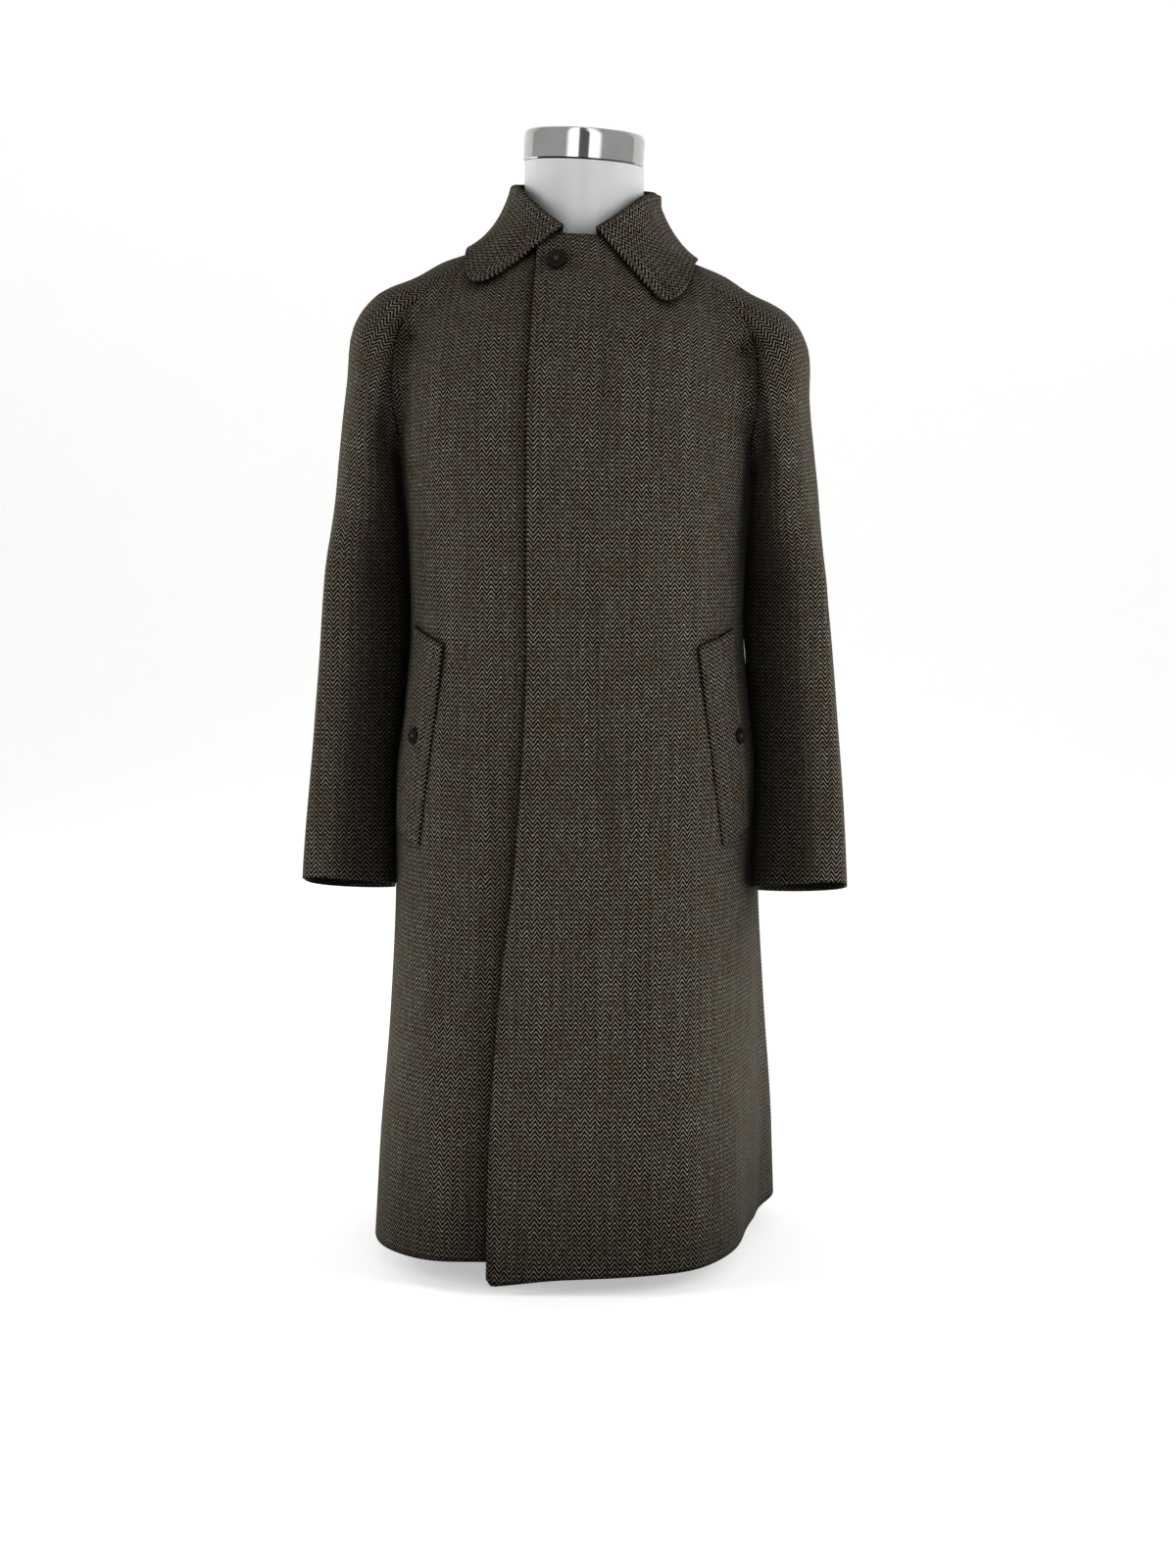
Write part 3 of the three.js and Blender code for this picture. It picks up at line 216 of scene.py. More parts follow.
def herringbone(name):
    """The tweed, read from the piece's own map in metres of cloth."""
    wool = bpy.data.materials.new(name)
    tree, shader, add = nodes_of(wool)

    def sum_of(kind, *values):
        node = add("Math", dict(enumerate(values)), operation=kind)
        return node.outputs["Value"]

    cloth = add("UVMap", uv_map="cloth").outputs["UV"]
    drift = add("TexNoise", {"Vector": cloth, "Scale": 70, "Detail": 2}).outputs["Fac"]
    hair = add("TexNoise", {"Vector": cloth, "Scale": 900, "Detail": 3}).outputs["Fac"]
    split = add("SeparateXYZ", {"Vector": cloth})
    across, along = split.outputs["X"], split.outputs["Y"]
    drifted = sum_of("MULTIPLY_ADD", drift, 0.0012, across)
    frayed = sum_of("MULTIPLY_ADD", hair, 0.0007, along)
    zigzag = sum_of("PINGPONG", sum_of("DIVIDE", drifted, CHEVRON), 0.5)
    phase = sum_of("MULTIPLY_ADD", zigzag, 2 * TWILL_RISE, sum_of("DIVIDE", frayed, TWILL))
    wave = sum_of("MULTIPLY", sum_of("PINGPONG", phase, 0.5), 2)
    line = add("MapRange", {"Value": wave, "From Min": 0.56, "From Max": 0.78}, interpolation_type="SMOOTHSTEP")
    line = line.outputs["Result"]
    yarn = add("Mapping", {"Vector": cloth, "Scale": (250, 420, 1)}).outputs["Vector"]
    slub = add("TexNoise", {"Vector": yarn, "Scale": 1, "Detail": 2}).outputs["Fac"]
    cloud = add("TexNoise", {"Vector": cloth, "Scale": 34, "Detail": 3, "Roughness": 0.6}).outputs["Fac"]
    speck = add("TexNoise", {"Vector": cloth, "Scale": 130, "Detail": 2}).outputs["Fac"]
    hue = sum_of("MULTIPLY_ADD", speck, 0.4, sum_of("MULTIPLY", cloud, 0.6))
    light = colours(
        add, hue,
        [
            (0.34, (0.184, 0.136, 0.098)), (0.43, (0.178, 0.146, 0.111)), (0.50, (0.173, 0.152, 0.121)),
            (0.57, (0.163, 0.156, 0.116)), (0.66, (0.178, 0.165, 0.139)),
        ],
    )
    dark = colours(
        add, hue,
        [(0.38, (0.0070, 0.0038, 0.0021)), (0.5, (0.0048, 0.0034, 0.0022)), (0.62, (0.0044, 0.0040, 0.0026))],
    )

    def varied(noise, low, high):
        return add("MapRange", {"Value": noise, "From Min": 0.3, "From Max": 0.7, "To Min": low, "To Max": high})

    warp = add("Mapping", {"Vector": cloth, "Scale": (260, 5, 1)}).outputs["Vector"]
    streak = add("TexNoise", {"Vector": warp, "Scale": 1, "Detail": 2}).outputs["Fac"]
    bright = sum_of(
        "MULTIPLY",
        sum_of("MULTIPLY", varied(slub, 0.5, 1.72).outputs["Result"], varied(streak, 0.78, 1.22).outputs["Result"]),
        sum_of("MULTIPLY", varied(cloud, 0.8, 1.0).outputs["Result"], varied(speck, 0.86, 1.15).outputs["Result"]),
    )
    light = add("Mix", {0: 1.0, "A": light, "B": bright}, data_type="RGBA", blend_type="MULTIPLY")
    light.inputs[0].default_value = 1
    woven = add("Mix", {"Factor": line}, data_type="RGBA")
    tree.links.new(dark, woven.inputs[6])
    tree.links.new(light.outputs[2], woven.inputs[7])
    # Painted shade: a short ambient occlusion reading darkens the base colour in creases and under raised edges,
    # and a long one darkens it between the sleeves and the body.
    near = add("AmbientOcclusion", {"Distance": 0.014}, samples=6).outputs["AO"]
    far = add("AmbientOcclusion", {"Distance": 0.2}, samples=6).outputs["AO"]
    painted_far_shade = add("MapRange", {"Value": far, "From Min": 0.4, "From Max": 0.97, "To Min": 0.2, "To Max": 1})
    painted_shade = sum_of("MULTIPLY", painted_far_shade.outputs["Result"], sum_of("POWER", near, 1.05))
    shaded = add("Mix", {"A": woven.outputs[2], "B": painted_shade}, data_type="RGBA", blend_type="MULTIPLY")
    shaded.inputs[0].default_value = 1
    tree.links.new(shaded.outputs[2], shader.inputs["Base Color"])
    nap = sum_of("MULTIPLY_ADD", hair, 0.5, line)
    relief = add("Bump", {"Height": nap, "Distance": 0.0004, "Strength": 0.8}).outputs["Normal"]
    tree.links.new(relief, shader.inputs["Normal"])
    dull = add("MapRange", {"Value": slub, "To Min": 0.86, "To Max": 1}).outputs["Result"]
    tree.links.new(dull, shader.inputs["Roughness"])
    shader.inputs["Specular IOR Level"].default_value = 0.02
    shader.inputs["Sheen Weight"].default_value = 0.08
    shader.inputs["Sheen Roughness"].default_value = 0.3
    shader.inputs["Sheen Tint"].default_value = (0.66, 0.64, 0.50, 1)
    return wool


tweed = herringbone("herringbone_tweed")


# The garment surface of the body, which the back, the fronts, the welts and the collar share. Level
# sections: height, half width, reach in front and behind, how far back the middle lies, squareness.
BODY = [
    (0, 213, 264, 150, 58, 2.6), (120, 209, 246, 148, 52, 2.6), (250, 200, 216, 148, 40, 2.6),
    (380, 193, 188, 150, 24, 2.6), (500, 191, 164, 150, 10, 2.6), (580, 182, 152, 144, 5, 2.6),
    (650, 176, 145, 138, 2, 2.6), (740, 178, 143, 136, 0, 2.6), (800, 183, 144, 138, 0, 2.6),
    (860, 190, 144, 141, 0, 2.5), (905, 190, 140, 139, 0, 2.4), (950, 182, 131, 132, 0, 2.3),
    (990, 164, 117, 119, 0, 2.2), (1020, 140, 102, 106, 0, 2.1), (1040, 115, 92, 95, 0, 2),
    (1052, 97, 86, 88, 0, 2), (1066, 81, 80, 81, 0, 2), (1080, 76, 77, 76, 0, 2),
    (1100, 74, 75, 74, 0, 2),
]
# Soft folds of the skirt: angle round from the front, spread, height of the start, reach at the hem.
FOLDS = [
    (28, 8, 620, 6), (62, 20, 640, -27), (84, 11, 560, -11), (112, 10, 560, 6), (-29, 8, 560, 5),
    (-43, 19, 600, 19), (124, 10, 600, -7), (150, 11, 640, 10), (180, 9, 560, -7),
    (-152, 11, 640, 9), (-122, 12, 600, -9),
]
CLOTH = 3.0
SKIN = -0.2
LAYER_GAP = 1.0


def smoothstep(low, high, value):
    share = np.clip((value - low) / (high - low), 0, 1)
    return share * share * (3 - 2 * share)


def curve_through(places, values):
    """A smooth curve through points, which doesn't swing past them."""
    xs, ys = np.array(places, float), np.array(values, float)
    slopes = np.diff(ys) / np.diff(xs)
    before, after = slopes[:-1], slopes[1:]
    same = before * after > 0
    middle = np.where(same, 2 * before * after / np.where(same, before + after, 1), 0)
    tangents = np.concatenate([slopes[:1], middle, slopes[-1:]])

    def at(value):
        x = np.clip(value, xs[0], xs[-1])
        i = np.clip(np.searchsorted(xs, x, side="right") - 1, 0, len(xs) - 2)
        span = xs[i + 1] - xs[i]
        t = (x - xs[i]) / span
        t2, t3 = t * t, t * t * t
        rise = (t3 - 2 * t2 + t) * tangents[i] + (t3 - t2) * tangents[i + 1]
        return (2 * t3 - 3 * t2 + 1) * ys[i] + (3 * t2 - 2 * t3) * ys[i + 1] + span * rise

    return at


def columns_of(rows):
    """Each further column of a table as a smooth function of its first."""
    table = list(zip(*rows))
    return [curve_through(table[0], column) for column in table[1:]]


body_width, body_front, body_back, body_middle, body_square = columns_of(BODY)


def body_radius(angle, z):
    power = body_square(z)
    reach = np.where(np.cos(angle) > 0, body_front(z), body_back(z))
    across = np.abs(np.sin(angle)) / body_width(z)
    radius = (across**power + (np.abs(np.cos(angle)) / reach) ** power) ** (-1 / power)
    for fold, spread, top, out in FOLDS:
        turn = np.arctan2(np.sin(angle - fold * DEG), np.cos(angle - fold * DEG))
        down = np.clip((top - z) / top, 0, 1)
        radius = radius + out * np.exp(-((turn / (spread * DEG)) ** 2)) * down**1.3
    return radius


def body_point(angle, z):
    radius = body_radius(angle, z)
    flat = radius * np.sin(angle), body_middle(z) - radius * np.cos(angle), z + 0 * radius
    return np.stack(flat, -1)


def body_distance(p):
    dy = p[..., 1] - body_middle(p[..., 2])
    angle = np.arctan2(p[..., 0], -dy)
    z = p[..., 2]
    slope = body_radius(angle, z + 1) - body_radius(angle, z - 1)
    return (np.hypot(p[..., 0], dy) - body_radius(angle, z)) / np.hypot(1, slope / 2)


# The sleeves' surface, which flows into the body's above the armpit. Its axis from the neck over the
# shoulder to the cuff, with half the width and half the depth of the sleeve there.
SLEEVE = [
    (75, 8, 1036, 15, 30), (125, 8, 1007, 24, 54), (166, 8, 987, 27, 70), (196, 8, 973, 30, 79),
    (207, 8, 951, 34, 85), (208, 8, 903, 36, 88), (212, 8, 850, 37, 88), (218, 7, 790, 36.5, 84),
    (219.8, 5, 720, 40.7, 80), (222.4, 1, 640, 44.6, 75), (231.2, -6, 550, 43.3, 69),
    (237.5, -19, 460, 44, 63), (239.5, -37, 385, 45, 58),
]
SLEEVE_SQUARE, SLEEVE_SKEW, SLEEVE_TURN, SLEEVE_FADE = 2.3, 0.9, 0.42, (700, 800)
AXIS_STEPS = 60
BLEND = 46


def rope(points):
    """A smooth line through points, at shares from 0 to 1."""
    p = np.array(points, float)
    p = np.vstack([2 * p[0] - p[1], p, 2 * p[-1] - p[-2]])

    def at(share):
        along = np.clip(share, 0, 1) * (len(p) - 3)
        i = np.minimum(along.astype(int), len(p) - 4)
        t = (along - i)[..., None]
        a, b, c, d = p[i], p[i + 1], p[i + 2], p[i + 3]
        ab, bc, cd = (np.sum((v - u) ** 2, -1, keepdims=True) ** 0.25 for u, v in ((a, b), (b, c), (c, d)))
        first = ((b - a) / ab - (c - a) / (ab + bc) + (c - b) / bc) * bc
        last = ((c - b) / bc - (d - b) / (bc + cd) + (d - c) / cd) * bc
        cubic = (2 * b - 2 * c + first + last) * t**3
        return cubic + (3 * c - 3 * b - 2 * first - last) * t**2 + first * t + b

    return at


def unit(v):
    return v / np.maximum(np.linalg.norm(v, axis=-1, keepdims=True), 1e-9)


def dot(a, b):
    return np.sum(a * b, -1)


axis_shares = np.linspace(0, 1, AXIS_STEPS + 1)
sleeve_axis = rope([row[:3] for row in SLEEVE])
axis_centres = sleeve_axis(axis_shares)
axis_along = unit(sleeve_axis(np.minimum(axis_shares + 1e-4, 1)) - sleeve_axis(np.maximum(axis_shares - 1e-4, 0)))
axis_out = unit(np.stack([-axis_along[:, 2], 0 * axis_shares, axis_along[:, 0]], -1))
axis_back = np.cross(axis_out, axis_along)
row_shares = np.linspace(0, 1, len(SLEEVE))
axis_width = curve_through(row_shares, [row[3] for row in SLEEVE])(axis_shares)
axis_depth = curve_through(row_shares, [row[4] for row in SLEEVE])(axis_shares)


def sleeve_section(share):
    along = np.clip(share, 0, 1) * AXIS_STEPS
    i = np.minimum(along.astype(int), AXIS_STEPS - 1)
    t = along - i

    def between(rows):
        ease = t if rows.ndim == 1 else t[..., None]
        return rows[i] * (1 - ease) + rows[i + 1] * ease

    return (
        between(axis_centres), unit(between(axis_out)), unit(between(axis_back)),
        between(axis_width), between(axis_depth),
    )


def sleeve_radius(angle, centre, width, depth):
    """The empty sleeve's reach: fuller outside its front, and flat where it turns to the body."""
    hung = 1 - smoothstep(*SLEEVE_FADE, centre[..., 2])
    power = SLEEVE_SQUARE + np.where(np.sin(angle) > 0, SLEEVE_SKEW * hung * np.sin(2 * angle), 0)
    across = (np.abs(np.cos(angle)) / width) ** power
    return (across + (np.abs(np.sin(angle)) / depth) ** power) ** (-1 / power)


def turn_of(fore, centre, depth):
    """How far the hanging sleeve's front fold is turned outward, as a share of its half width."""
    hung = 1 - smoothstep(*SLEEVE_FADE, centre[..., 2])
    return SLEEVE_TURN * hung * smoothstep(0, 0.9 * depth, fore)


def sleeve_point(share, angle, part):
    centre, out, back, width, depth = sleeve_section(share)
    reach = sleeve_radius(angle, centre, width, depth) * part
    side, fore = reach * np.cos(angle), reach * np.sin(angle)
    side = side + turn_of(fore, centre, depth) * width * np.clip(1 - (side / width) ** 2, 0, None)
    return centre + out * side[..., None] - back * fore[..., None]


def sleeve_place(p):
    """Where points lie along and round the sleeve, their distance out and the radius there."""
    starts, runs = axis_centres[:-1], np.diff(axis_centres, axis=0)
    from_start = p[..., None, :] - starts
    t = np.clip(dot(from_start, runs) / dot(runs, runs), 0, 1)
    gap = np.linalg.norm(from_start - t[..., None] * runs, axis=-1)
    best = np.argmin(gap, -1)
    share = (best + np.take_along_axis(t, best[..., None], -1)[..., 0]) / AXIS_STEPS
    centre, out, back, width, depth = sleeve_section(share)
    reach = p - centre
    side, fore = dot(reach, out), -dot(reach, back)
    turn = np.maximum(turn_of(fore, centre, depth), 1e-4)
    part = side / width
    back_turned = (1 - np.sqrt(np.maximum(1 - 4 * turn * (part - turn), 0))) / (2 * turn) * width
    straight = np.where(np.abs(part) < 1, back_turned, side)
    far = np.sqrt(np.maximum(dot(reach, reach) - side**2 + straight**2, 0))
    angle = np.arctan2(fore, straight)
    return share, angle, far, sleeve_radius(angle, centre, width, depth)


def sleeve_distance(p):
    _, _, reach, radius = sleeve_place(p * np.where(p[..., :1] < 0, (-1, 1, 1), 1))
    return reach - radius


def halved(low, high, keep_high, rounds=24):
    """Closes in on where a condition changes, between two numbers or arrays of them."""
    for _ in range(rounds):
        middle = (low + high) / 2
        up = keep_high(middle)
        low, high = np.where(up, middle, low), np.where(up, high, middle)
    return low


side_angles = np.arange(70, 110.1, 0.5) * DEG


def clear_of_sleeve(z):
    return sleeve_distance(body_point(side_angles, z)).min() > 0


ARMPIT_Z = float(halved(700.0, 860.0, clear_of_sleeve))
ARMPIT_ANGLE = side_angles[np.argmin(sleeve_distance(body_point(side_angles, ARMPIT_Z)))]


def blended(p):
    a, b = body_distance(p), sleeve_distance(p)
    k = BLEND * smoothstep(ARMPIT_Z + 4, 945, p[..., 2]) * (1 - smoothstep(1030, 1060, p[..., 2]))
    soft = np.maximum(k, 0.01)
    h = np.clip(0.5 + 0.5 * (b - a) / soft, 0, 1)
    return np.where(k < 0.01, np.minimum(a, b), b * (1 - h) + a * h - soft * h * (1 - h))


def body_surface(p):
    return np.where(p[..., 2] > ARMPIT_Z, blended(p), body_distance(p))


def sleeve_surface(p):
    return np.where(p[..., 2] > ARMPIT_Z, blended(p), sleeve_distance(p))


def gradient(surface, p, probe=0.4):
    steps = np.eye(3) * probe
    return np.stack([(surface(p + s) - surface(p - s)) / (2 * probe) for s in steps], -1)


def settle(surface, p, rounds=4):
    """Moves points along the slope of a surface until they lie on it."""
    for _ in range(rounds):
        slope = gradient(surface, p)
        step = surface(p) / np.maximum(dot(slope, slope), 0.05)
        p = p - slope * np.clip(step, -25, 25)[..., None]
    return p


def normal_at(surface, p):
    return unit(gradient(surface, p))


def evened(surface, points, held, turns=5):
    """Spreads the cells of a settled patch evenly between its edges and the held points."""
    for _ in range(turns):
        for _ in range(6):
            near = (points[2:, 1:-1] + points[:-2, 1:-1] + points[1:-1, 2:] + points[1:-1, :-2]) / 4
            inner = points[1:-1, 1:-1]
            points[1:-1, 1:-1] = inner + (near - inner) * (1 - held[1:-1, 1:-1])[..., None] * 0.8
        points[1:-1, 1:-1] = settle(surface, points[1:-1, 1:-1], 1)
    return points


# The lean of the upper part and the middle of the frame, applied to every point of cloth last.
def placed(p):
    """Points of the garment, in millimetres, as they stand in the frame, in metres."""
    x, y, z = p[..., 0], p[..., 1], p[..., 2]
    tilt = 0.045 * smoothstep(560, 950, z) + 0.015 * smoothstep(950, 1100, z)
    shift = 7 * smoothstep(860, 1080, z)
    return np.stack([x + shift, y - 1, z - tilt * x], -1) / 1000


def panel(name, points, normals, cloth_map, thickness=CLOTH, edge=1.3, material=tweed):
    """A cloth piece from rows of surface points: a grid given its place, its map and its wall."""
    rows, columns = points.shape[:2]
    made = bmesh.new()
    bmesh.ops.create_grid(made, x_segments=columns - 1, y_segments=rows - 1, size=1)
    made.verts.ensure_lookup_table()
    for vert, spot in zip(made.verts, placed(points).reshape(-1, 3)):
        vert.co = spot
    made.normal_update()
    middle = made.verts[(rows // 2) * columns + columns // 2]
    if middle.normal.dot(Vector(normals[rows // 2, columns // 2])) < 0:
        bmesh.ops.reverse_faces(made, faces=made.faces)
    spots = cloth_map.reshape(-1, 2) / 1000
    layer = made.loops.layers.uv.new("cloth")
    for face in made.faces:
        for loop in face.loops:
            loop[layer].uv = spots[loop.vert.index]
    piece = finished(name, made)
    wall = piece.modifiers.new("wall", "SOLIDIFY")
    wall.thickness = thickness / 1000
    wall.offset = -1
    wall.bevel_convex = 1
    soft = piece.modifiers.new("soft_edge", "BEVEL")
    soft.limit_method = "WEIGHT"
    soft.width = edge / 1000
    soft.segments = 2
    return piece


def flattened(points, guess, rounds=500):
    """Lays a cloth piece out flat: from a guessed map, every thread is eased to its real length."""
    whole, low, high = slice(None), slice(None, -1), slice(1, None)
    pairs = [((whole, low), (whole, high)), ((low, whole), (high, whole))]
    pairs += [((low, low), (high, high)), ((low, high), (high, low))]
    threads = [(a, b, np.linalg.norm(points[b] - points[a], axis=-1)) for a, b in pairs]
    flat = guess.copy()
    held = np.zeros(guess.shape[:2] + (1,))
    for a, b, _ in threads:
        held[a] += 1
        held[b] += 1
    for _ in range(rounds):
        move = np.zeros_like(flat)
        for a, b, length in threads:
            gap = flat[b] - flat[a]
            reach = np.maximum(np.linalg.norm(gap, axis=-1), 1e-6)
            push = gap * ((reach - length) / (2 * reach))[..., None]
            move[a] += push
            move[b] -= push
        flat += 1.3 * move / held
    return flat


def cut_size(cloth_map):
    """The width, length and area of a flat cut, in metres, from its map in millimetres."""
    spread = np.ptp(cloth_map.reshape(-1, 2), axis=0) / 1000
    a, b = cloth_map[1:, 1:] - cloth_map[:-1, :-1], cloth_map[1:, :-1] - cloth_map[:-1, 1:]
    area = np.abs(a[..., 0] * b[..., 1] - a[..., 1] * b[..., 0]).sum() / 2e6
    return [round(float(v), 4) for v in spread], round(float(area), 5)


def hang(piece, cloth_map, nodes, material=tweed):
    dress(piece, material, nodes)
    flat, area = cut_size(cloth_map)
    flat = [flat[0] * 1.002, flat[1] * 1.002]


# The back: one wide panel, hung from the shoulders between the raglan and the side seams, with the
# folds of the skirt's flare. Its map follows the straight grain down the middle.
NECKLINE_FRONT, NECKLINE_BACK = 1062, 1078
RAGLAN_BACK = [(70, 1055), (105, 1030), (138, 1000), (163, 965), (178, 930), (185, 895)]
RAGLAN_FRONT = [(78, 1051), (112, 1033), (150, 1008), (169, 987), (183, 962), (188, 930), (189, 895)]
RAGLAN_FRONT_ANGLE, RAGLAN_BACK_ANGLE, SHOULDER_ANGLE = 48, 142, 92
CREASE_TOP = 862
SIDE_ROWS, RAGLAN_ROWS = 130, 52
BACK_COLUMNS = 112
BACK_HEM = (28, 24)
side_angle, = columns_of([(0, 104), (300, 100), (650, 94), (800, 92)])


def neckline_height(angle):
    return NECKLINE_FRONT + (NECKLINE_BACK - NECKLINE_FRONT) * (1 - np.cos(angle)) / 2


def neckline_point(angle):
    return body_point(angle, neckline_height(angle))


def seen_points(rows, side):
    """The points of the garment seen at each x and z from the front (-1) or the back (1)."""
    xz = np.array(rows, float)

    def at(y):
        return np.stack([xz[:, 0], y, xz[:, 1]], -1)

    depths = np.arange(220, -1, -4) * side
    hit = np.array([blended(at(np.full(len(xz), float(y)))) <= 0 for y in depths])
    inside = depths[np.argmax(hit, 0)].astype(float)
    y = halved(inside, inside + 4.0 * side, lambda y: blended(at(y)) <= 0, 18)
    return at(y)


def crease_points(heights, side):
    z = np.array(heights)
    start = np.full(len(z), ARMPIT_ANGLE)
    angle = halved(start, start + side * 50 * DEG, lambda a: sleeve_distance(body_point(a, z)) < 0)
    return body_point(angle, z)


def raglan_seam(rows, angle, side):
    """A raglan seam from the neckline down to the armpit, in even steps."""
    heights = [ARMPIT_Z + (CREASE_TOP - ARMPIT_Z) * share**2 for share in (0.8, 0.55, 0.3, 0.1)]
    points = np.vstack([
        neckline_point(np.array([angle * DEG])), seen_points(rows, side),
        crease_points(heights, side), body_point(np.array([ARMPIT_ANGLE]), ARMPIT_Z),
    ])
    line = rope(points)(np.linspace(0, 1, 1201))
    run = np.concatenate([[0], np.cumsum(np.linalg.norm(np.diff(line, axis=0), axis=1))])
    spots = np.interp(np.linspace(0, run[-1], RAGLAN_ROWS + 1), run, np.arange(1201.0))
    p = np.stack([np.interp(spots, np.arange(1201.0), line[:, c]) for c in range(3)], -1)
    share = smoothstep(ARMPIT_Z + 3, ARMPIT_Z + 30, p[:, 2]) * (1 - smoothstep(1050, 1062, p[:, 2]))
    share[[0, -1]] = 0
    return p + (settle(blended, p) - p) * share[:, None]


raglan_front = raglan_seam(RAGLAN_FRONT, RAGLAN_FRONT_ANGLE, -1)
raglan_back = raglan_seam(RAGLAN_BACK, RAGLAN_BACK_ANGLE, 1)


def between_lines(low, high, first, last):
    """Places between four boundary lines, each an array of a few numbers a point."""
    u = np.linspace(0, 1, len(low))[None, :, None]
    v = np.linspace(0, 1, len(first))[:, None, None]
    sides = (1 - u) * first[:, None] + u * last[:, None] + (1 - v) * low[None] + v * high[None]
    ends = (1 - v) * ((1 - u) * low[0] + u * low[-1]) + v * ((1 - u) * high[0] + u * high[-1])
    return sides - ends


def drape(p):
    """Small unevenness of hung cloth, in millimetres out of the surface."""
    x, y, z = p[..., 0], p[..., 1], p[..., 2]
    slow = np.sin(x / 47 + 1.3 * np.sin(z / 130)) * np.sin(y / 61 + z / 173 + 0.7)
    quick = np.sin(x / 23 + z / 57 + 2 * np.sin(z / 91)) * np.sin(y / 29 - z / 83)
    return 0.9 * slow + 0.45 * quick


def body_cells(angle, z):
    """Points and normals of the garment surface at directions and heights of the body."""
    guess = body_point(angle, z)
    near = (z > ARMPIT_Z + 2) & (z < 1058)
    points = guess.copy()
    points[near] = settle(body_surface, guess[near])
    own = normal_at(body_distance, points)
    shared = own.copy()
    shared[near] = normal_at(blended, points[near])
    share = smoothstep(ARMPIT_Z, ARMPIT_Z + 30, points[..., 2])[..., None]
    return points, unit(own + (shared - own) * share)


MAP_ANGLES = np.arange(-120, 481, 1.0) * DEG
MAP_HEIGHTS = np.arange(0, 1101, 10.0)
map_angle, map_height = np.meshgrid(MAP_ANGLES, MAP_HEIGHTS)
map_points = body_point(map_angle, map_height)
round_it = np.linalg.norm(np.diff(map_points, axis=1), axis=-1)
round_it = np.concatenate([np.zeros((len(MAP_HEIGHTS), 1)), np.cumsum(round_it, 1)], 1)
up_it = np.linalg.norm(np.diff(map_points, axis=0), axis=-1)
up_it = np.concatenate([np.zeros((1, len(MAP_ANGLES))), np.cumsum(up_it, 0)], 0)


def cloth_places(angle, z, grain):
    """Places on the flat cloth of directions and heights, the grain running up at one direction."""
    def read(table, angle, z):
        i = np.clip((angle - MAP_ANGLES[0]) / DEG, 0, len(MAP_ANGLES) - 1.001)
        j = np.clip(z / 10, 0, len(MAP_HEIGHTS) - 1.001)
        a, b = i.astype(int), j.astype(int)
        s, t = i - a, j - b
        low = table[b, a] * (1 - s) + table[b, a + 1] * s
        return low * (1 - t) + (table[b + 1, a] * (1 - s) + table[b + 1, a + 1] * s) * t

    across = read(round_it, angle, z) - read(round_it, np.full_like(angle, grain * DEG), z)
    return np.stack([across, read(up_it, angle, z)], -1)


def side_seam(hem):
    z = hem + (ARMPIT_Z - hem) * np.linspace(0, 1, SIDE_ROWS + 1)
    angle = side_angle(z) * DEG
    angle = angle + (ARMPIT_ANGLE - angle) * smoothstep(650, ARMPIT_Z, z)
    return np.stack([angle, z], -1)


def place_of(p):
    return np.stack([np.arctan2(p[:, 0], body_middle(p[:, 2]) - p[:, 1]), p[:, 2]], -1)


def seam_places(hem, raglan):
    return np.vstack([side_seam(hem), place_of(raglan[:-1][::-1])])


def body_panel(places, raglan, ends):
    """A body panel's points, normals and map places: below the armpit from its directions and
    heights, and above it between its edges, laid on the garment surface. ends gives the side of
    each edge that is sewn to the raglan seam."""
    points, _ = body_cells(places[: SIDE_ROWS + 1, :, 0], places[: SIDE_ROWS + 1, :, 1])
    edges = []
    for column, side in zip((0, -1), ends):
        if side:
            edges.append(raglan[::-1] * (side, 1, 1))
        else:
            edges.append(body_cells(places[SIDE_ROWS:, column, 0], places[SIDE_ROWS:, column, 1])[0])
    top = body_point(places[-1, :, 0], places[-1, :, 1])
    points[-1, 0], points[-1, -1] = edges[0][0], edges[1][0]
    edges[0][-1], edges[1][-1] = top[0], top[-1]
    upper = between_lines(points[-1], top, *edges)
    upper[1:-1, 1:-1] = settle(blended, upper[1:-1, 1:-1], 3)
    upper = evened(blended, upper, np.zeros(upper.shape[:2]))
    points = np.concatenate([points, upper[1:]])
    lifted = points[..., 2] > ARMPIT_Z
    own = normal_at(body_distance, points)
    shared = own.copy()
    shared[lifted] = normal_at(blended, points[lifted])
    share = smoothstep(ARMPIT_Z, ARMPIT_Z + 30, points[..., 2])[..., None]
    return points, unit(own + (shared - own) * share), np.unwrap(
        np.arctan2(points[..., 0], body_middle(points[..., 2]) - points[..., 1]), axis=1
    )


def unrolled(points, cloth_map, start):
    """A map's guess above the armpit: rolled out sideways from one column, and up from below."""
    run = np.linalg.norm(np.diff(points[SIDE_ROWS:], axis=1), axis=-1)
    run = np.concatenate([np.zeros((len(run), 1)), np.cumsum(run, 1)], 1)
    run = (run - run[:, start: start + 1]) * np.sign(cloth_map[0, -1, 0] - cloth_map[0, 0, 0])
    rise = np.linalg.norm(np.diff(points[SIDE_ROWS:], axis=0), axis=-1)
    cloth_map[SIDE_ROWS:, :, 0] = cloth_map[SIDE_ROWS:, start: start + 1, 0] + run
    cloth_map[SIDE_ROWS + 1:, :, 1] = cloth_map[SIDE_ROWS, :, 1] + np.cumsum(rise, 0)
    return cloth_map


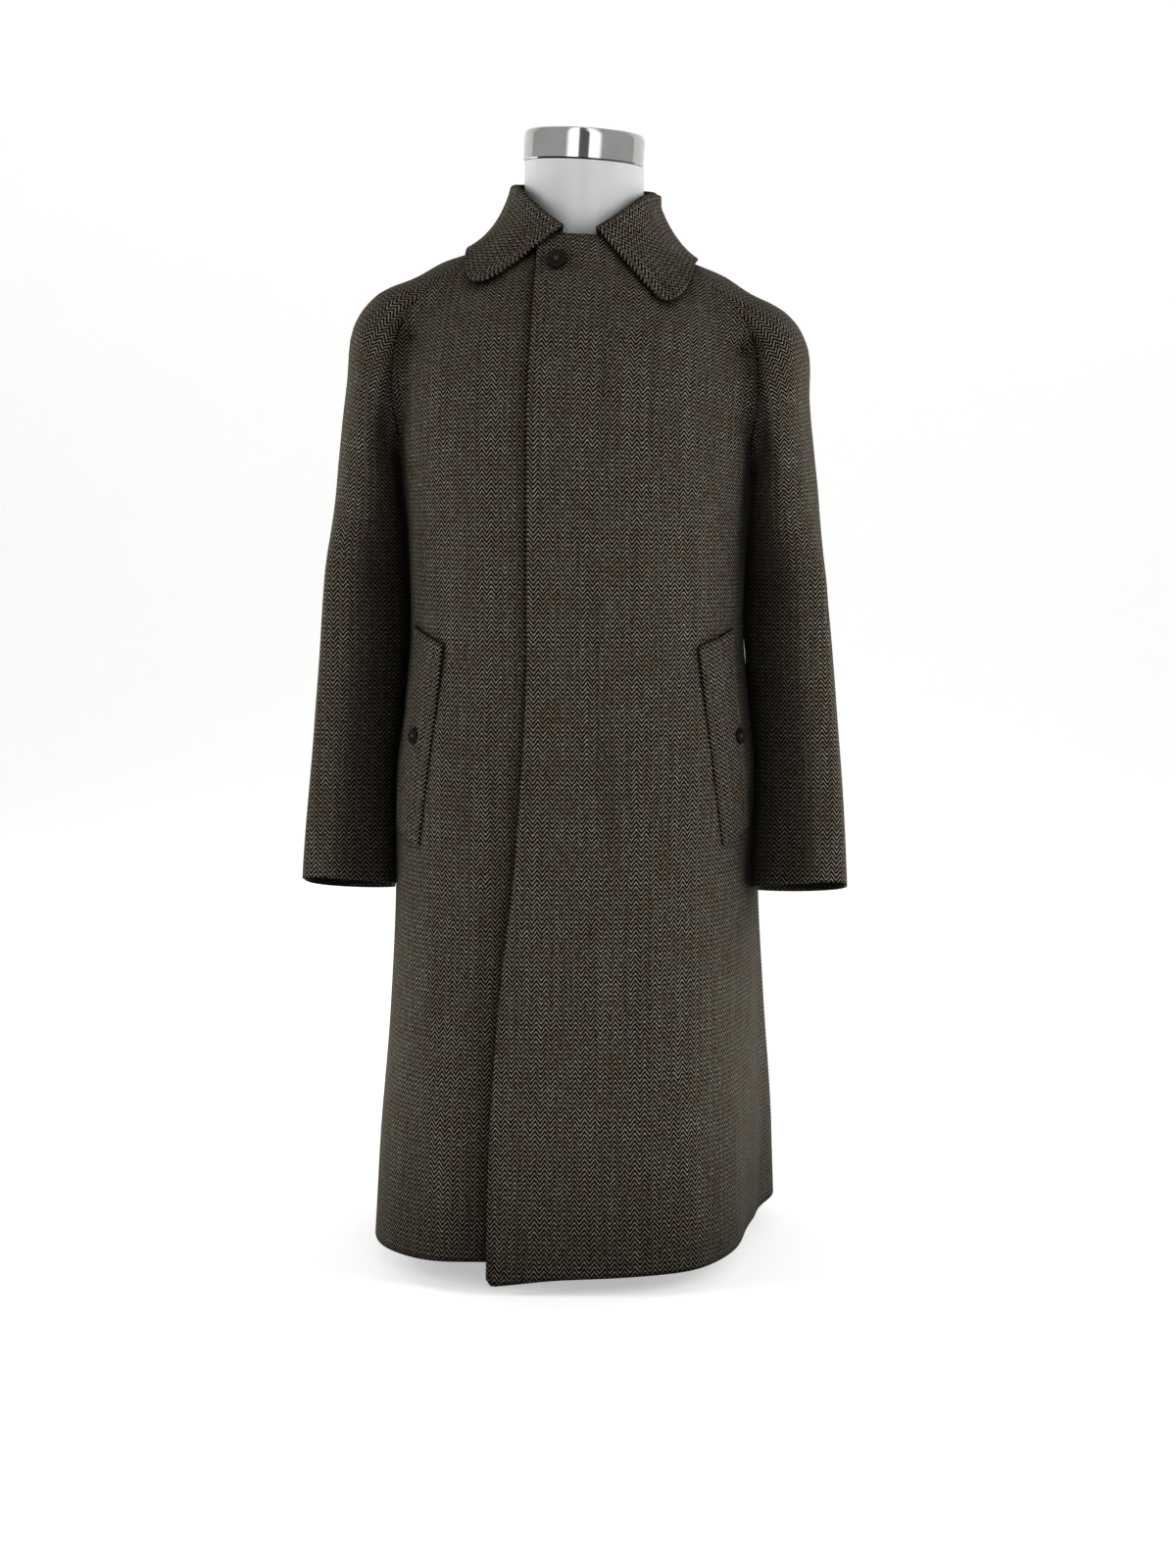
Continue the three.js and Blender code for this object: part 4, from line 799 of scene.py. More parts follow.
near_side = seam_places(BACK_HEM[0], raglan_back)
far_side = seam_places(BACK_HEM[1], raglan_back) * (-1, 1) + (2 * math.pi, 0)
shares = np.linspace(0, 1, BACK_COLUMNS + 1)
hem_angle = near_side[0, 0] + (2 * math.pi - 2 * near_side[0, 0]) * shares
top_angle = near_side[-1, 0] + (2 * math.pi - 2 * near_side[-1, 0]) * shares
hem_line = np.stack([hem_angle, BACK_HEM[0] + (BACK_HEM[1] - BACK_HEM[0]) * shares], -1)
top_line = np.stack([top_angle, neckline_height(top_angle)], -1)
far_side[0], far_side[-1] = hem_line[-1], top_line[-1]
near_side[0], near_side[-1] = hem_line[0], top_line[0]
back_places = between_lines(hem_line, top_line, near_side, far_side)
back_points, back_normals, back_angles = body_panel(back_places, raglan_back, (1, -1))
back_map = cloth_places(back_angles, back_points[..., 2], 180)
back_map = flattened(back_points, unrolled(back_points, back_map, BACK_COLUMNS // 2), 400)


def edge_fade(rows, columns, reach=5):
    """1 inside a panel, falling to 0 at its edges over a few cells."""
    j = np.minimum(np.arange(rows), np.arange(rows)[::-1])[:, None]
    i = np.minimum(np.arange(columns), np.arange(columns)[::-1])[None]
    return smoothstep(0, reach, np.minimum(i, j).astype(float))


def drawn_in(points, normals, gap=0.25):
    """Draws a panel's edges in by half the gap of a seam, square to the edge."""
    moved = points.copy()
    j_line = {0: (0, 1), -1: (-1, -2)}
    for end, (own, inner) in j_line.items():
        for axis in (0, 1):
            line = points[own] if axis == 0 else points[:, own]
            inward = (points[inner] if axis == 0 else points[:, inner]) - line
            normal = normals[own] if axis == 0 else normals[:, own]
            move = unit(np.cross(normal, np.gradient(line, axis=0)))
            move = move * np.sign(dot(move, inward))[:, None] * gap
            if axis == 0:
                moved[own] += move
            else:
                moved[:, own] += move
    return moved


def stood_off(points, normals, raise_by=0.0):
    """The outer face of a panel: a little under the garment surface, uneven inside its edges."""
    rows, columns = points.shape[:2]
    out = SKIN + raise_by + drape(points) * edge_fade(rows, columns)
    return drawn_in(points, normals) + normals * np.asarray(out)[..., None]


back_panel = panel("back_panel", stood_off(back_points, back_normals), back_normals, back_map)
hang(back_panel, back_map, ["back"])


# The fronts: the wearer's left closes over the right, over a hidden fly. The upper one stands off by
# the cloth below, and its free edge runs down to a small rounded corner.
OVERLAP_EDGE = [(0, -79), (130, -77), (275, -69), (450, -51), (650, -42), (1100, -42)]
UNDERLAP_EDGE = [(0, -34), (1100, -34)]
OVERLAP_HEM = [(-18, 6), (-13, 10), (0, 17), (20, 20.5), (60, 25), (104, 28)]
UNDERLAP_HEM = [(-10, 33), (25, 29), (50, 26), (104, 24)]
HEM_CORNER = 9
FRONT_COLUMNS = 66


def angle_of_x(x, z, side):
    angle = np.arcsin(np.clip(x / 200, -1, 1))
    for _ in range(30):
        angle = np.arcsin(np.clip(x / body_radius(side * angle, z), -0.999, 0.999))
    return angle


overlap_edge, = columns_of(OVERLAP_EDGE)


def overlap_raise(x):
    return (CLOTH + LAYER_GAP) * (1 - smoothstep(50, 150, x))


def front_panel(name, side, edge_rows, hem_rows, raised):
    edge_x, = columns_of(edge_rows)
    hem_height, = columns_of(hem_rows)
    seam = seam_places(hem_rows[-1][1], raglan_front)
    rise = np.linspace(0, 1, RAGLAN_ROWS + 1)[1:]
    corner = hem_rows[0][1] + HEM_CORNER
    edge_z = np.concatenate([
        corner + (ARMPIT_Z - corner) * np.linspace(0, 1, SIDE_ROWS + 1),
        ARMPIT_Z + (NECKLINE_FRONT - ARMPIT_Z) * rise,
    ])
    edge = np.stack([angle_of_x(edge_x(edge_z), edge_z, side), edge_z], -1)
    share = np.linspace(0, 1, FRONT_COLUMNS + 1)
    share = share * (0.6 + 0.4 * share)
    hem_angle = edge[0, 0] + (seam[0, 0] - edge[0, 0]) * share
    round_off = np.clip(1 - (hem_angle - edge[0, 0]) * 200 / HEM_CORNER, 0, 1)
    hem_z = hem_height(hem_angle / DEG) + HEM_CORNER * (1 - np.sqrt(1 - round_off**2))
    hem = np.stack([hem_angle, hem_z], -1)
    top_angle = edge[-1, 0] + (RAGLAN_FRONT_ANGLE * DEG - edge[-1, 0]) * share
    top = np.stack([top_angle, neckline_height(top_angle)], -1)
    edge[0], edge[-1] = hem[0], top[0]
    seam[0], seam[-1] = hem[-1], top[-1]
    places = between_lines(hem, top, edge, seam)
    u = np.linspace(0, 1, FRONT_COLUMNS + 1)
    ease = np.interp(np.arange(len(u)), np.arange(len(u)), share)[None, :, None]
    straight = edge[:, None] * (1 - ease) + seam[:, None] * ease
    ends = (1 - np.linspace(0, 1, len(edge)))[:, None, None]
    low = hem[None] - (hem[0] * (1 - ease[0]) + hem[-1] * ease[0])[None]
    high = top[None] - (top[0] * (1 - ease[0]) + top[-1] * ease[0])[None]
    places = straight + ends * low + (1 - ends) * high
    points, normals, angles = body_panel(places * (side, 1), raglan_front, (0, side))
    cloth_map = unrolled(points, cloth_places(angles, points[..., 2], 0), 0)
    cloth_map = flattened(points, cloth_map, 400)
    from_edge = points[..., 0] - overlap_edge(points[..., 2])
    if raised:
        lift = overlap_raise(points[..., 0]) + 1.2 * np.exp(-(((from_edge - 3.5) / 3) ** 2))
    else:
        low = 1 - smoothstep(300, 640, points[..., 2])
        lift = -7 * low * np.exp(-(((from_edge + 4) / 30) ** 2)) - 0.8 * np.exp(-(((from_edge + 1) / 5) ** 2))
    return panel(name, stood_off(points, normals, lift), normals, cloth_map), cloth_map


front_left, left_map = front_panel("front_panel_left", 1, OVERLAP_EDGE, OVERLAP_HEM, True)
hang(front_left, left_map, ["front_left"])
front_right, right_map = front_panel("front_panel_right", -1, UNDERLAP_EDGE, UNDERLAP_HEM, False)
hang(front_right, right_map, ["front_right"])


# The sleeves: two halves each, sewn along the raglan, overarm and underarm seams, and hanging with a
# soft break at the elbow. The grain runs down the sleeve.
OVERARM_ANGLE = 34
SLEEVE_COLUMNS = 34
CUFF_ROWS = 88


def sleeve_half(raglan, raglan_angle, side):
    """Points, normals and map of half a left sleeve, from the overarm seam to the inner seams."""
    def reach(p):
        share, angle, out, radius = sleeve_place(p)
        if side > 0:
            angle = np.where(angle > 90 * DEG, angle - 2 * math.pi, angle)
        else:
            angle = np.where(angle < -60 * DEG, angle + 2 * math.pi, angle)
        return np.stack([share, angle, out / radius], -1)

    inner = -side * math.pi
    sewn_down = reach(raglan)
    armpit = sewn_down[-1, 0]
    down = np.linspace(0, 1, CUFF_ROWS + 1)
    under = np.stack([armpit + (1 - armpit) * down, np.full(len(down), inner), np.ones(len(down))], -1)
    seam = np.vstack([sewn_down[:-1], under])
    shoulder = reach(neckline_point(np.array([SHOULDER_ANGLE * DEG])))[0]
    row = np.arange(len(seam)) / RAGLAN_ROWS
    settled = smoothstep(0, 0.55, row)
    over = np.stack([
        np.where(row < 1, shoulder[0] + (armpit - shoulder[0]) * row, seam[:, 0]),
        shoulder[1] + (OVERARM_ANGLE * DEG - shoulder[1]) * settled,
        shoulder[2] + (1 - shoulder[2]) * settled,
    ], -1)
    u = np.linspace(0, 1, SLEEVE_COLUMNS + 1)
    top_angles = (SHOULDER_ANGLE + (raglan_angle - SHOULDER_ANGLE) * u) * DEG
    top = reach(neckline_point(top_angles))
    cuff = np.stack([np.ones(len(u)), OVERARM_ANGLE * DEG + (inner - OVERARM_ANGLE * DEG) * u, np.ones(len(u))], -1)
    over[0], over[-1], seam[0], seam[-1] = top[0], cuff[0], top[-1], cuff[-1]
    places = between_lines(top, cuff, over, seam)
    guess = sleeve_point(places[..., 0], places[..., 1], places[..., 2])
    points = settle(sleeve_surface, guess)
    points[0] = neckline_point(top_angles)
    points[: RAGLAN_ROWS + 1, -1] = raglan
    high = slice(0, RAGLAN_ROWS + 12)
    held = np.broadcast_to(smoothstep(RAGLAN_ROWS, RAGLAN_ROWS + 11, np.arange(RAGLAN_ROWS + 12.0))[:, None],
                           points[high].shape[:2])
    points[high] = evened(sleeve_surface, points[high], held)
    high = points[..., 2] > 1050
    own = normal_at(sleeve_distance, points)
    own[high] = normal_at(body_distance, points[high])
    lifted = points[..., 2] > ARMPIT_Z + 3
    shared = own.copy()
    shared[lifted] = normal_at(blended, points[lifted])
    share = smoothstep(ARMPIT_Z, ARMPIT_Z + 30, points[..., 2])[..., None]
    normals = unit(own + (shared - own) * share)
    across = np.cumsum(np.linalg.norm(np.diff(points, axis=1), axis=-1), 1)
    across = np.concatenate([np.zeros((len(points), 1)), across], 1)
    along = np.linalg.norm(np.diff(points, axis=0), axis=-1)
    along = np.concatenate([np.zeros((1, len(u))), np.cumsum(along, 0)], 0)
    cloth_map = flattened(points, np.stack([across, -along], -1), 900)
    return points, normals, cloth_map


def sleeve_break(points):
    """Drapes of a hanging sleeve, in millimetres out: a soft break inside and below the elbow."""
    _, angle, _, _ = sleeve_place(points)
    elbow = np.exp(-(((points[..., 2] - 640) / 150) ** 2))
    ridge = np.cos(angle - 60 * DEG - (points[..., 2] - 640) / 260)
    pinch = np.sin(points[..., 2] / 27 + 2.2 * np.cos(angle)) * np.exp(-(((points[..., 2] - 620) / 70) ** 2))
    high = smoothstep(800, 850, points[..., 2]) * (1 - smoothstep(930, 975, points[..., 2]))
    fold_x = np.interp(points[..., 2], [800, 840, 880, 930, 965], [216, 211, 203, 189, 173])
    fold = high * np.exp(-(((points[..., 0] - fold_x) / 7) ** 2)) * smoothstep(0, 30, -points[..., 1])
    hollow = high * np.exp(-(((points[..., 0] - fold_x + 18) / 11) ** 2)) * smoothstep(0, 30, -points[..., 1])
    inside = np.clip(np.cos(angle - 150 * DEG), 0, 1)
    return 1.6 * elbow * ridge - 1.2 * pinch * inside + 2.6 * fold - 4 * hollow


SLEEVE_REST, SLEEVE_REACH = 0.3, 12


def sleeve_lean(points, side):
    """How far the inside of a hanging sleeve moves in until it rests against the body's side."""
    _, angle, _, _ = sleeve_place(points)
    below_armpit = smoothstep(320, 400, points[..., 2]) * (1 - smoothstep(800, 850, points[..., 2]))
    facing_body = 1 - smoothstep(-0.8, -0.2, np.cos(angle))
    room = np.clip(body_distance(points * (side, 1, 1)) - SLEEVE_REST, 0, SLEEVE_REACH)
    return room * below_armpit * facing_body


front_half = sleeve_half(raglan_front, RAGLAN_FRONT_ANGLE, -1)
back_half = sleeve_half(raglan_back, RAGLAN_BACK_ANGLE, 1)
for hand, side in (("left", 1), ("right", -1)):
    for half_name, half in (("front", front_half), ("back", back_half)):
        points, normals, cloth_map = half
        fade = edge_fade(*points.shape[:2], 8)
        bent = points + normals * (sleeve_break(points) * fade)[..., None]
        bent = bent - sleeve_lean(bent, side)[..., None] * (1, 0, 0)
        sleeve_points = stood_off(bent, normals) * (side, 1, 1)
        piece = panel(f"sleeve_{half_name}_panel_{hand}", sleeve_points, normals * (side, 1, 1), cloth_map)
        hang(piece, cloth_map, [f"sleeve_{half_name}_{hand}"])


# The collar: a stand sewn into the neckline, and a broad leaf that turns over it and lies on the
# shoulders, open at the front with rounded tips. Angle, stand height, edge x, y, z and its lift.
COLLAR_FRONT, COLLAR_FOLD, COLLAR_LEAN, COLLAR_TIP, COLLAR_CLEAR, COLLAR_SAG = 13, 3.2, 0.1, 17, 2.8, 7
COLLAR = [
    (13, 9, 90, -101, 986, 13), (25, 19, 106, -80, 1006, 12), (41, 32, 115, -52, 1030, 9),
    (60, 43, 118, -26, 1042, 6), (90, 46, 118, 12, 1044, 4.5), (120, 46, 102, 58, 1042, 4.5),
    (150, 45, 58, 90, 1042, 4.5), (180, 44, 0, 100, 1042, 4.5), (210, 45, -58, 90, 1042, 4.5),
    (240, 46, -102, 58, 1042, 4.5), (270, 46, -118, 12, 1044, 4.5), (300, 43, -118, -26, 1042, 6),
    (319, 32, -116, -52, 1032, 9), (335, 19, -111, -74, 1014, 12), (347, 9, -101, -92, 999, 13),
]
COLLAR_COLUMNS, LEAF_ROWS = 150, 26
STAND_CLOTH, SEAM_GAP = 2.4, 0.3
collar_height, collar_x, collar_y, collar_z, collar_lift = columns_of(COLLAR)
shares = np.linspace(0, 1, COLLAR_COLUMNS + 1)
shares = shares + 0.7 * (0.5 - 0.5 * np.cos(math.pi * shares) - shares)
collar_angles = COLLAR_FRONT + (360 - 2 * COLLAR_FRONT) * shares
collar_foot = neckline_point(collar_angles * DEG)
outward = normal_at(body_distance, collar_foot)
outward[:, 2] = 0
outward = unit(outward)
collar_foot = collar_foot - outward * CLOTH / 2
stand_height = collar_height(collar_angles)[:, None]
collar_crest = collar_foot - outward * COLLAR_LEAN * stand_height + np.array((0, 0, 1)) * stand_height
edge_guess = np.stack([f(collar_angles) for f in (collar_x, collar_y, collar_z)], -1)
leaf_edge = settle(blended, edge_guess, 6)
leaf_edge = leaf_edge + normal_at(blended, leaf_edge) * collar_lift(collar_angles)[:, None]


def fold_points(turn):
    """The roll line's fold, from 0 on the stand's side to 180 on the leaf's."""
    rise = COLLAR_FOLD * (math.sin(turn * DEG) - 1)
    return collar_crest - outward * COLLAR_FOLD * math.cos(turn * DEG) + np.array((0, 0, rise))


leaf_start = fold_points(180)
leaf_length = np.linalg.norm(leaf_edge - leaf_start, axis=1)
from_end = np.minimum(collar_angles, 360 - collar_angles) - COLLAR_FRONT
round_off = np.clip(1 - from_end * 2.4 / COLLAR_TIP, 0, 1)
tip_cut = COLLAR_TIP * (1 - np.sqrt(1 - round_off**2)) / leaf_length
leaf_rows = [fold_points(turn) for turn in (6, 26, 48, 70, 92, 114, 136, 158)]
for t in np.linspace(0, 1, LEAF_ROWS + 1) ** 0.85:
    share = (t * (1 - tip_cut))[:, None]
    points = leaf_start + (leaf_edge - leaf_start) * share
    dip = 4 * share * (1 - share) * COLLAR_SAG
    points = points - outward * dip * 0.6 - np.array((0, 0, 0.8)) * dip
    layers = overlap_raise(points[:, 0]) * smoothstep(-60, -46, points[:, 0])
    short = np.clip(COLLAR_CLEAR + layers - blended(points), 0, None)
    leaf_rows.append(points + normal_at(blended, points) * short[:, None])
leaf_points = np.array(leaf_rows)


def own_normals(points):
    return unit(np.cross(np.gradient(points, axis=1), np.gradient(points, axis=0)))


def own_map(points):
    """A flat map of a piece from the lengths along its middle row and its columns."""
    down = np.linalg.norm(np.diff(points, axis=0), axis=-1).mean(1)
    down = np.concatenate([[0], np.cumsum(down)])
    middle = points[len(points) // 2]
    across = np.concatenate([[0], np.cumsum(np.linalg.norm(np.diff(middle, axis=0), axis=1))])
    return np.stack(np.meshgrid(across - across.mean(), -down), -1)


leaf_normals = own_normals(leaf_points)
leaf_map = own_map(leaf_points)
# Its chevrons keep their width near the two fronts, and ease towards the middle of the back.
run = np.linalg.norm(np.diff(leaf_points, axis=1), axis=-1)
front = 1 - smoothstep(0.5, 0.95, np.minimum(shares[1:], 1 - shares[:-1]) * 2)
eased = (np.ptp(leaf_map[0, :, 0]) - (run * front).sum(1)) / (run * (1 - front)).sum(1)
run = run * front + run * (1 - front) * eased[:, None]
leaf_map[:, 1:, 0] = leaf_map[:, :1, 0] + np.cumsum(run, 1)
leaf_outer = leaf_points + leaf_normals * CLOTH / 2
collar_leaf = panel("collar_leaf_panel", leaf_outer, leaf_normals, leaf_map)
hang(collar_leaf, leaf_map, ["collar_leaf"])
stand_top = fold_points(0) - np.array((0, 0, 4 * SEAM_GAP))
stand_foot = collar_foot + np.array((0, 0, SEAM_GAP))
stand_points = np.array([stand_foot + (stand_top - stand_foot) * t for t in np.linspace(0, 1, 13)])
stand_normals = own_normals(stand_points)
stand_map = own_map(stand_points)
stand_outer = stand_points + stand_normals * STAND_CLOTH / 2
collar_stand = panel("collar_stand_band", stand_outer, stand_normals, stand_map, STAND_CLOTH, 0.8)
hang(collar_stand, stand_map, ["collar_stand"])


# The pocket welts: slanted bands of doubled cloth sewn over each pocket's mouth.
WELT_TOP, WELT_BOTTOM = (129, 642), (155, 436)
WELT_WIDTH, WELT_RISE, WELT_CLOTH = 54, 17, 2.5
welt_raise = 3 * SEAM_GAP + WELT_CLOTH
for hand, side in (("left", 1), ("right", -1)):
    v = np.linspace(0, 1, 53)[:, None]
    u = np.linspace(0, 1, 15)[None]
    x = WELT_BOTTOM[0] + (WELT_TOP[0] - WELT_BOTTOM[0]) * v
    z = WELT_BOTTOM[1] + (WELT_TOP[1] - WELT_BOTTOM[1]) * v
    inner = angle_of_x(x, z, side)
    angle = inner + WELT_WIDTH / body_radius(side * inner, z) * u
    height = z + WELT_RISE * u
    points, normals = body_cells(side * angle, height)
    cloth_map = np.stack([side * WELT_WIDTH * u + 0 * v, 208 * v + 0 * u], -1)
    pressed = 0.55 * (1 - smoothstep(0.55, 0.95, v)) * (1 - smoothstep(0, 0.35, u))
    lift = SKIN + welt_raise * (1 - pressed) + drape(points)
    piece = panel(f"welt_strip_{hand}", points + normals * lift[..., None], normals, cloth_map, WELT_CLOTH, 1.1)
    hang(piece, cloth_map, [f"welt_{hand}"])


# The buttons: four-hole horn buttons, mottled brown-black, dished inside a raised rim and sewn
# through with brown thread. One closes the neck, and one shuts each pocket welt.
horn = bpy.data.materials.new("dark_horn")
tree, shader, add = nodes_of(horn)
place = add("TexCoord").outputs["Object"]
marble = add("TexNoise", {"Vector": place, "Scale": 260, "Detail": 5, "Distortion": 1.6}).outputs["Fac"]
horn_tones = [(0.35, (0.004, 0.003, 0.002)), (0.55, (0.008, 0.006, 0.004)), (0.72, (0.022, 0.015, 0.010))]
tone = colours(add, marble, horn_tones)
tree.links.new(tone, shader.inputs["Base Color"])
gloss = add("MapRange", {"Value": marble, "To Min": 0.26, "To Max": 0.46}).outputs["Result"]
tree.links.new(gloss, shader.inputs["Roughness"])
shader.inputs["Specular IOR Level"].default_value = 0.08

thread = bpy.data.materials.new("brown_thread")
tree, shader, add = nodes_of(thread)
place = add("TexCoord").outputs["Object"]
ply = add("TexNoise", {"Vector": place, "Scale": 1500, "Detail": 2}).outputs["Fac"]
tone = colours(add, ply, [(0.3, (0.028, 0.02, 0.014)), (0.7, (0.075, 0.055, 0.04))])
tree.links.new(tone, shader.inputs["Base Color"])
shader.inputs["Roughness"].default_value = 0.8
dimple = add("Bump", {"Height": ply, "Distance": 0.0001, "Strength": 0.7}).outputs["Normal"]
tree.links.new(dimple, shader.inputs["Normal"])


def on_cloth(x, z, side, clearance):
    """The turn and place that set a thing on the body's cloth, facing out of it."""
    at_x, at_z = np.array([float(x)]), np.array([float(z)])
    points, normals = body_cells(side * angle_of_x(at_x, at_z, side), at_z)
    spot = placed(points + normals * clearance)[0]
    turn = Vector(normals[0]).to_track_quat("Z", "Y").to_matrix().to_4x4()
    return Matrix.Translation(spot) @ turn


def button(name, radius, thick, matrix, node):
    """A dished button with four holes through it, and its crossed thread."""
    made = bmesh.new()
    dish, plate = radius * 0.62, thick * 0.62
    rim = [(dish, plate), (radius * 0.7, thick * 0.74), (radius * 0.78, thick * 0.95), (radius * 0.86, thick)]
    rim += [(radius * 0.93, thick * 0.95), (radius, thick * 0.72), (radius, thick * 0.4)]
    rim += [(radius * 0.9, 0), (dish, 0)]
    corners = [made.verts.new((r, 0, h)) for r, h in rim]
    edges = [made.edges.new(pair) for pair in zip(corners, corners[1:])]
    bmesh.ops.spin(
        made, geom=corners + edges, axis=(0, 0, 1), cent=(0, 0, 0),
        steps=48, angle=2 * math.pi, use_merge=True,
    )
    bmesh.ops.remove_doubles(made, verts=made.verts, dist=1e-4)
    hole, spread = radius * 0.115, radius * 0.235
    spots = [(spread * a, spread * b) for a, b in ((1, 1), (-1, 1), (-1, -1), (1, -1))]
    for height in (plate, 0):
        ring = [
            e for e in made.edges
            if all(abs(v.co.z - height) < 1e-4 and v.co.xy.length < dish + 1e-3 for v in e.verts)
        ]
        cut = list(ring)
        for x, y in spots:
            at_hole = Matrix.Translation((x, y, height))
            made_hole = bmesh.ops.create_circle(made, segments=14, radius=hole, matrix=at_hole)
            cut += list({e for v in made_hole["verts"] for e in v.link_edges})
        bmesh.ops.triangle_fill(made, edges=cut, use_beauty=True)
    for x, y in spots:
        walls = [
            e for e in made.edges
            if len(e.link_faces) == 1 and all((v.co.xy - Vector((x, y))).length < hole * 1.2 for v in e.verts)
        ]
        bmesh.ops.bridge_loops(made, edges=walls)
    bmesh.ops.recalc_face_normals(made, faces=made.faces)
    for edge in made.edges:
        edge.smooth = edge.calc_face_angle(0) < 40 * DEG
    into = matrix @ Matrix.Scale(0.001, 4)
    bmesh.ops.transform(made, matrix=into, verts=made.verts)
    piece = finished(name, made)
    dress(piece, horn, [node])
    sewing = bmesh.new()
    for (x, y), (end_x, end_y) in ((spots[0], spots[2]), (spots[1], spots[3])):
        for lane in (-0.16, 0.16):
            run = Vector((end_x - x, end_y - y, 0))
            aside = run.normalized().cross(Vector((0, 0, 1))) * lane * hole * 3
            centre = Vector(((x + end_x) / 2, (y + end_y) / 2, plate + hole * 0.35)) + aside
            size = Matrix.Diagonal((run.length * 0.56, hole * 0.42, hole * 0.42, 1))
            turn = run.to_track_quat("X", "Z").to_matrix().to_4x4()
            strand = Matrix.Translation(centre) @ turn @ size
            bmesh.ops.create_uvsphere(sewing, u_segments=10, v_segments=8, radius=1, matrix=strand)
    bmesh.ops.transform(sewing, matrix=into, verts=sewing.verts)
    dress(finished(name + "_thread", sewing), thread)


pocket_lift = SKIN + welt_raise + SEAM_GAP
button("neck_button", 10, 3.6, on_cloth(-21, 1033, 1, SKIN + CLOTH + LAYER_GAP + 2 * SEAM_GAP), "button_neck")
button("pocket_button_left", 7.8, 3, on_cloth(169, 547, 1, pocket_lift), "button_pocket_left")
button("pocket_button_right", 7.8, 3, on_cloth(160, 547, -1, pocket_lift), "button_pocket_right")


# The stitching: brown thread in even stitches beside the edges of the collar and the welts, down the
# hidden fly and beside the side seams, each stitch sunk half into the nap.
STITCH_PITCH, STITCH_LENGTH, STITCH_THICK = 4.2, 2.6, 0.55


def stitched(name, lines):
    """Stitches along lines of points of the garment, given with the cloth's normals there."""
    made = bmesh.new()
    for points, normals in lines:
        run = np.concatenate([[0], np.cumsum(np.linalg.norm(np.diff(points, axis=0), axis=1))])
        spots = np.arange(STITCH_PITCH, run[-1] - STITCH_PITCH, STITCH_PITCH)
        centres = np.stack([np.interp(spots, run, points[:, c]) for c in range(3)], -1)
        ahead = np.stack([np.interp(spots + 1, run, points[:, c]) for c in range(3)], -1)
        outs = unit(np.stack([np.interp(spots, run, normals[:, c]) for c in range(3)], -1))
        starts, tips = placed(centres), placed(ahead)
        for start, tip, out in zip(starts, tips, outs):
            along = Vector(tip - start).normalized()
            side = along.cross(Vector(out)).normalized()
            turn = Matrix((along, side, along.cross(side))).transposed().to_4x4()
            size = Matrix.Diagonal((STITCH_LENGTH / 2000, STITCH_THICK / 2000, STITCH_THICK / 2000, 1))
            stitch = Matrix.Translation(start) @ turn @ size
            bmesh.ops.create_icosphere(made, subdivisions=1, radius=1, matrix=stitch)
    piece = finished(name, made)
    dress(piece, thread)
    return piece


leaf_rim = leaf_outer[-3], leaf_normals[-3]
tips = [(leaf_outer[8:-2, c], leaf_normals[8:-2, c]) for c in (3, -4)]
stitched("collar_stitching", [leaf_rim] + tips)
fly_z = np.linspace(330, 1000, 120)
fly_x = np.interp(fly_z, [330, 600, 1000], [22, 31, 34])
fly_points, fly_normals = body_cells(angle_of_x(fly_x, fly_z, 1), fly_z)
fly_lift = (overlap_raise(fly_points[:, 0]) + 0.1)[:, None]
stitched("fly_stitching", [(fly_points + fly_normals * fly_lift, fly_normals)])
for hand, side in (("left", 1), ("right", -1)):
    seam_z = np.linspace(40, ARMPIT_Z - 20, 160)
    seam_angle = side_angle(seam_z) * DEG - 6 / 190
    seam_points, seam_normals = body_cells(side * seam_angle, seam_z)
    welt_lines = []
    for inset, turned in ((4, False), (WELT_WIDTH - 6, False), (4, True)):
        v = np.linspace(0.03, 0.97, 60)
        across = np.full(60, float(inset)) if not turned else inset + (WELT_WIDTH - 10) * v
        v = v if not turned else np.full(60, 0.98)
        x = WELT_BOTTOM[0] + (WELT_TOP[0] - WELT_BOTTOM[0]) * v
        z = WELT_BOTTOM[1] + (WELT_TOP[1] - WELT_BOTTOM[1]) * v
        inner = angle_of_x(x, z, side)
        angle = inner + across / body_radius(side * inner, z)
        points, normals = body_cells(side * angle, z + WELT_RISE * across / WELT_WIDTH)
        welt_lines.append((points + normals * (SKIN + welt_raise + drape(points) + 0.1)[:, None], normals))
    stitched(f"welt_stitching_{hand}", welt_lines)
    seam_lift = drape(seam_points)[:, None]
    stitched(f"side_stitching_{hand}", [(seam_points + seam_normals * seam_lift, seam_normals)])


# The studio: a plain pale floor that sweeps up behind, and soft lights: a broad one on each
# side of the coat, a fill above the camera, and a narrow strip behind each shoulder.
sweep = bmesh.new()
SWEEP = [(-9, 0), (2.6, 0)]
SWEEP += [(2.6 + 2 * math.sin(t * DEG), 2 - 2 * math.cos(t * DEG)) for t in range(10, 91, 10)] + [(4.6, 9)]
first = [sweep.verts.new((-12, y, z)) for y, z in SWEEP]
edges = [sweep.edges.new(pair) for pair in zip(first, first[1:])]
drawn = bmesh.ops.extrude_edge_only(sweep, edges=edges)
moved = [v for v in drawn["geom"] if isinstance(v, bmesh.types.BMVert)]
bmesh.ops.translate(sweep, vec=(24, 0, 0), verts=moved)
backdrop = finished("studio_floor", sweep)
paper = bpy.data.materials.new("pale_paper")
tree, shader, add = nodes_of(paper)
shader.inputs["Base Color"].default_value = (0.88, 0.88, 0.87, 1)
shader.inputs["Roughness"].default_value = 0.9
shader.inputs["Emission Color"].default_value = (1, 1, 1, 1)
shader.inputs["Emission Strength"].default_value = 0.42
backdrop.data.materials.append(paper)

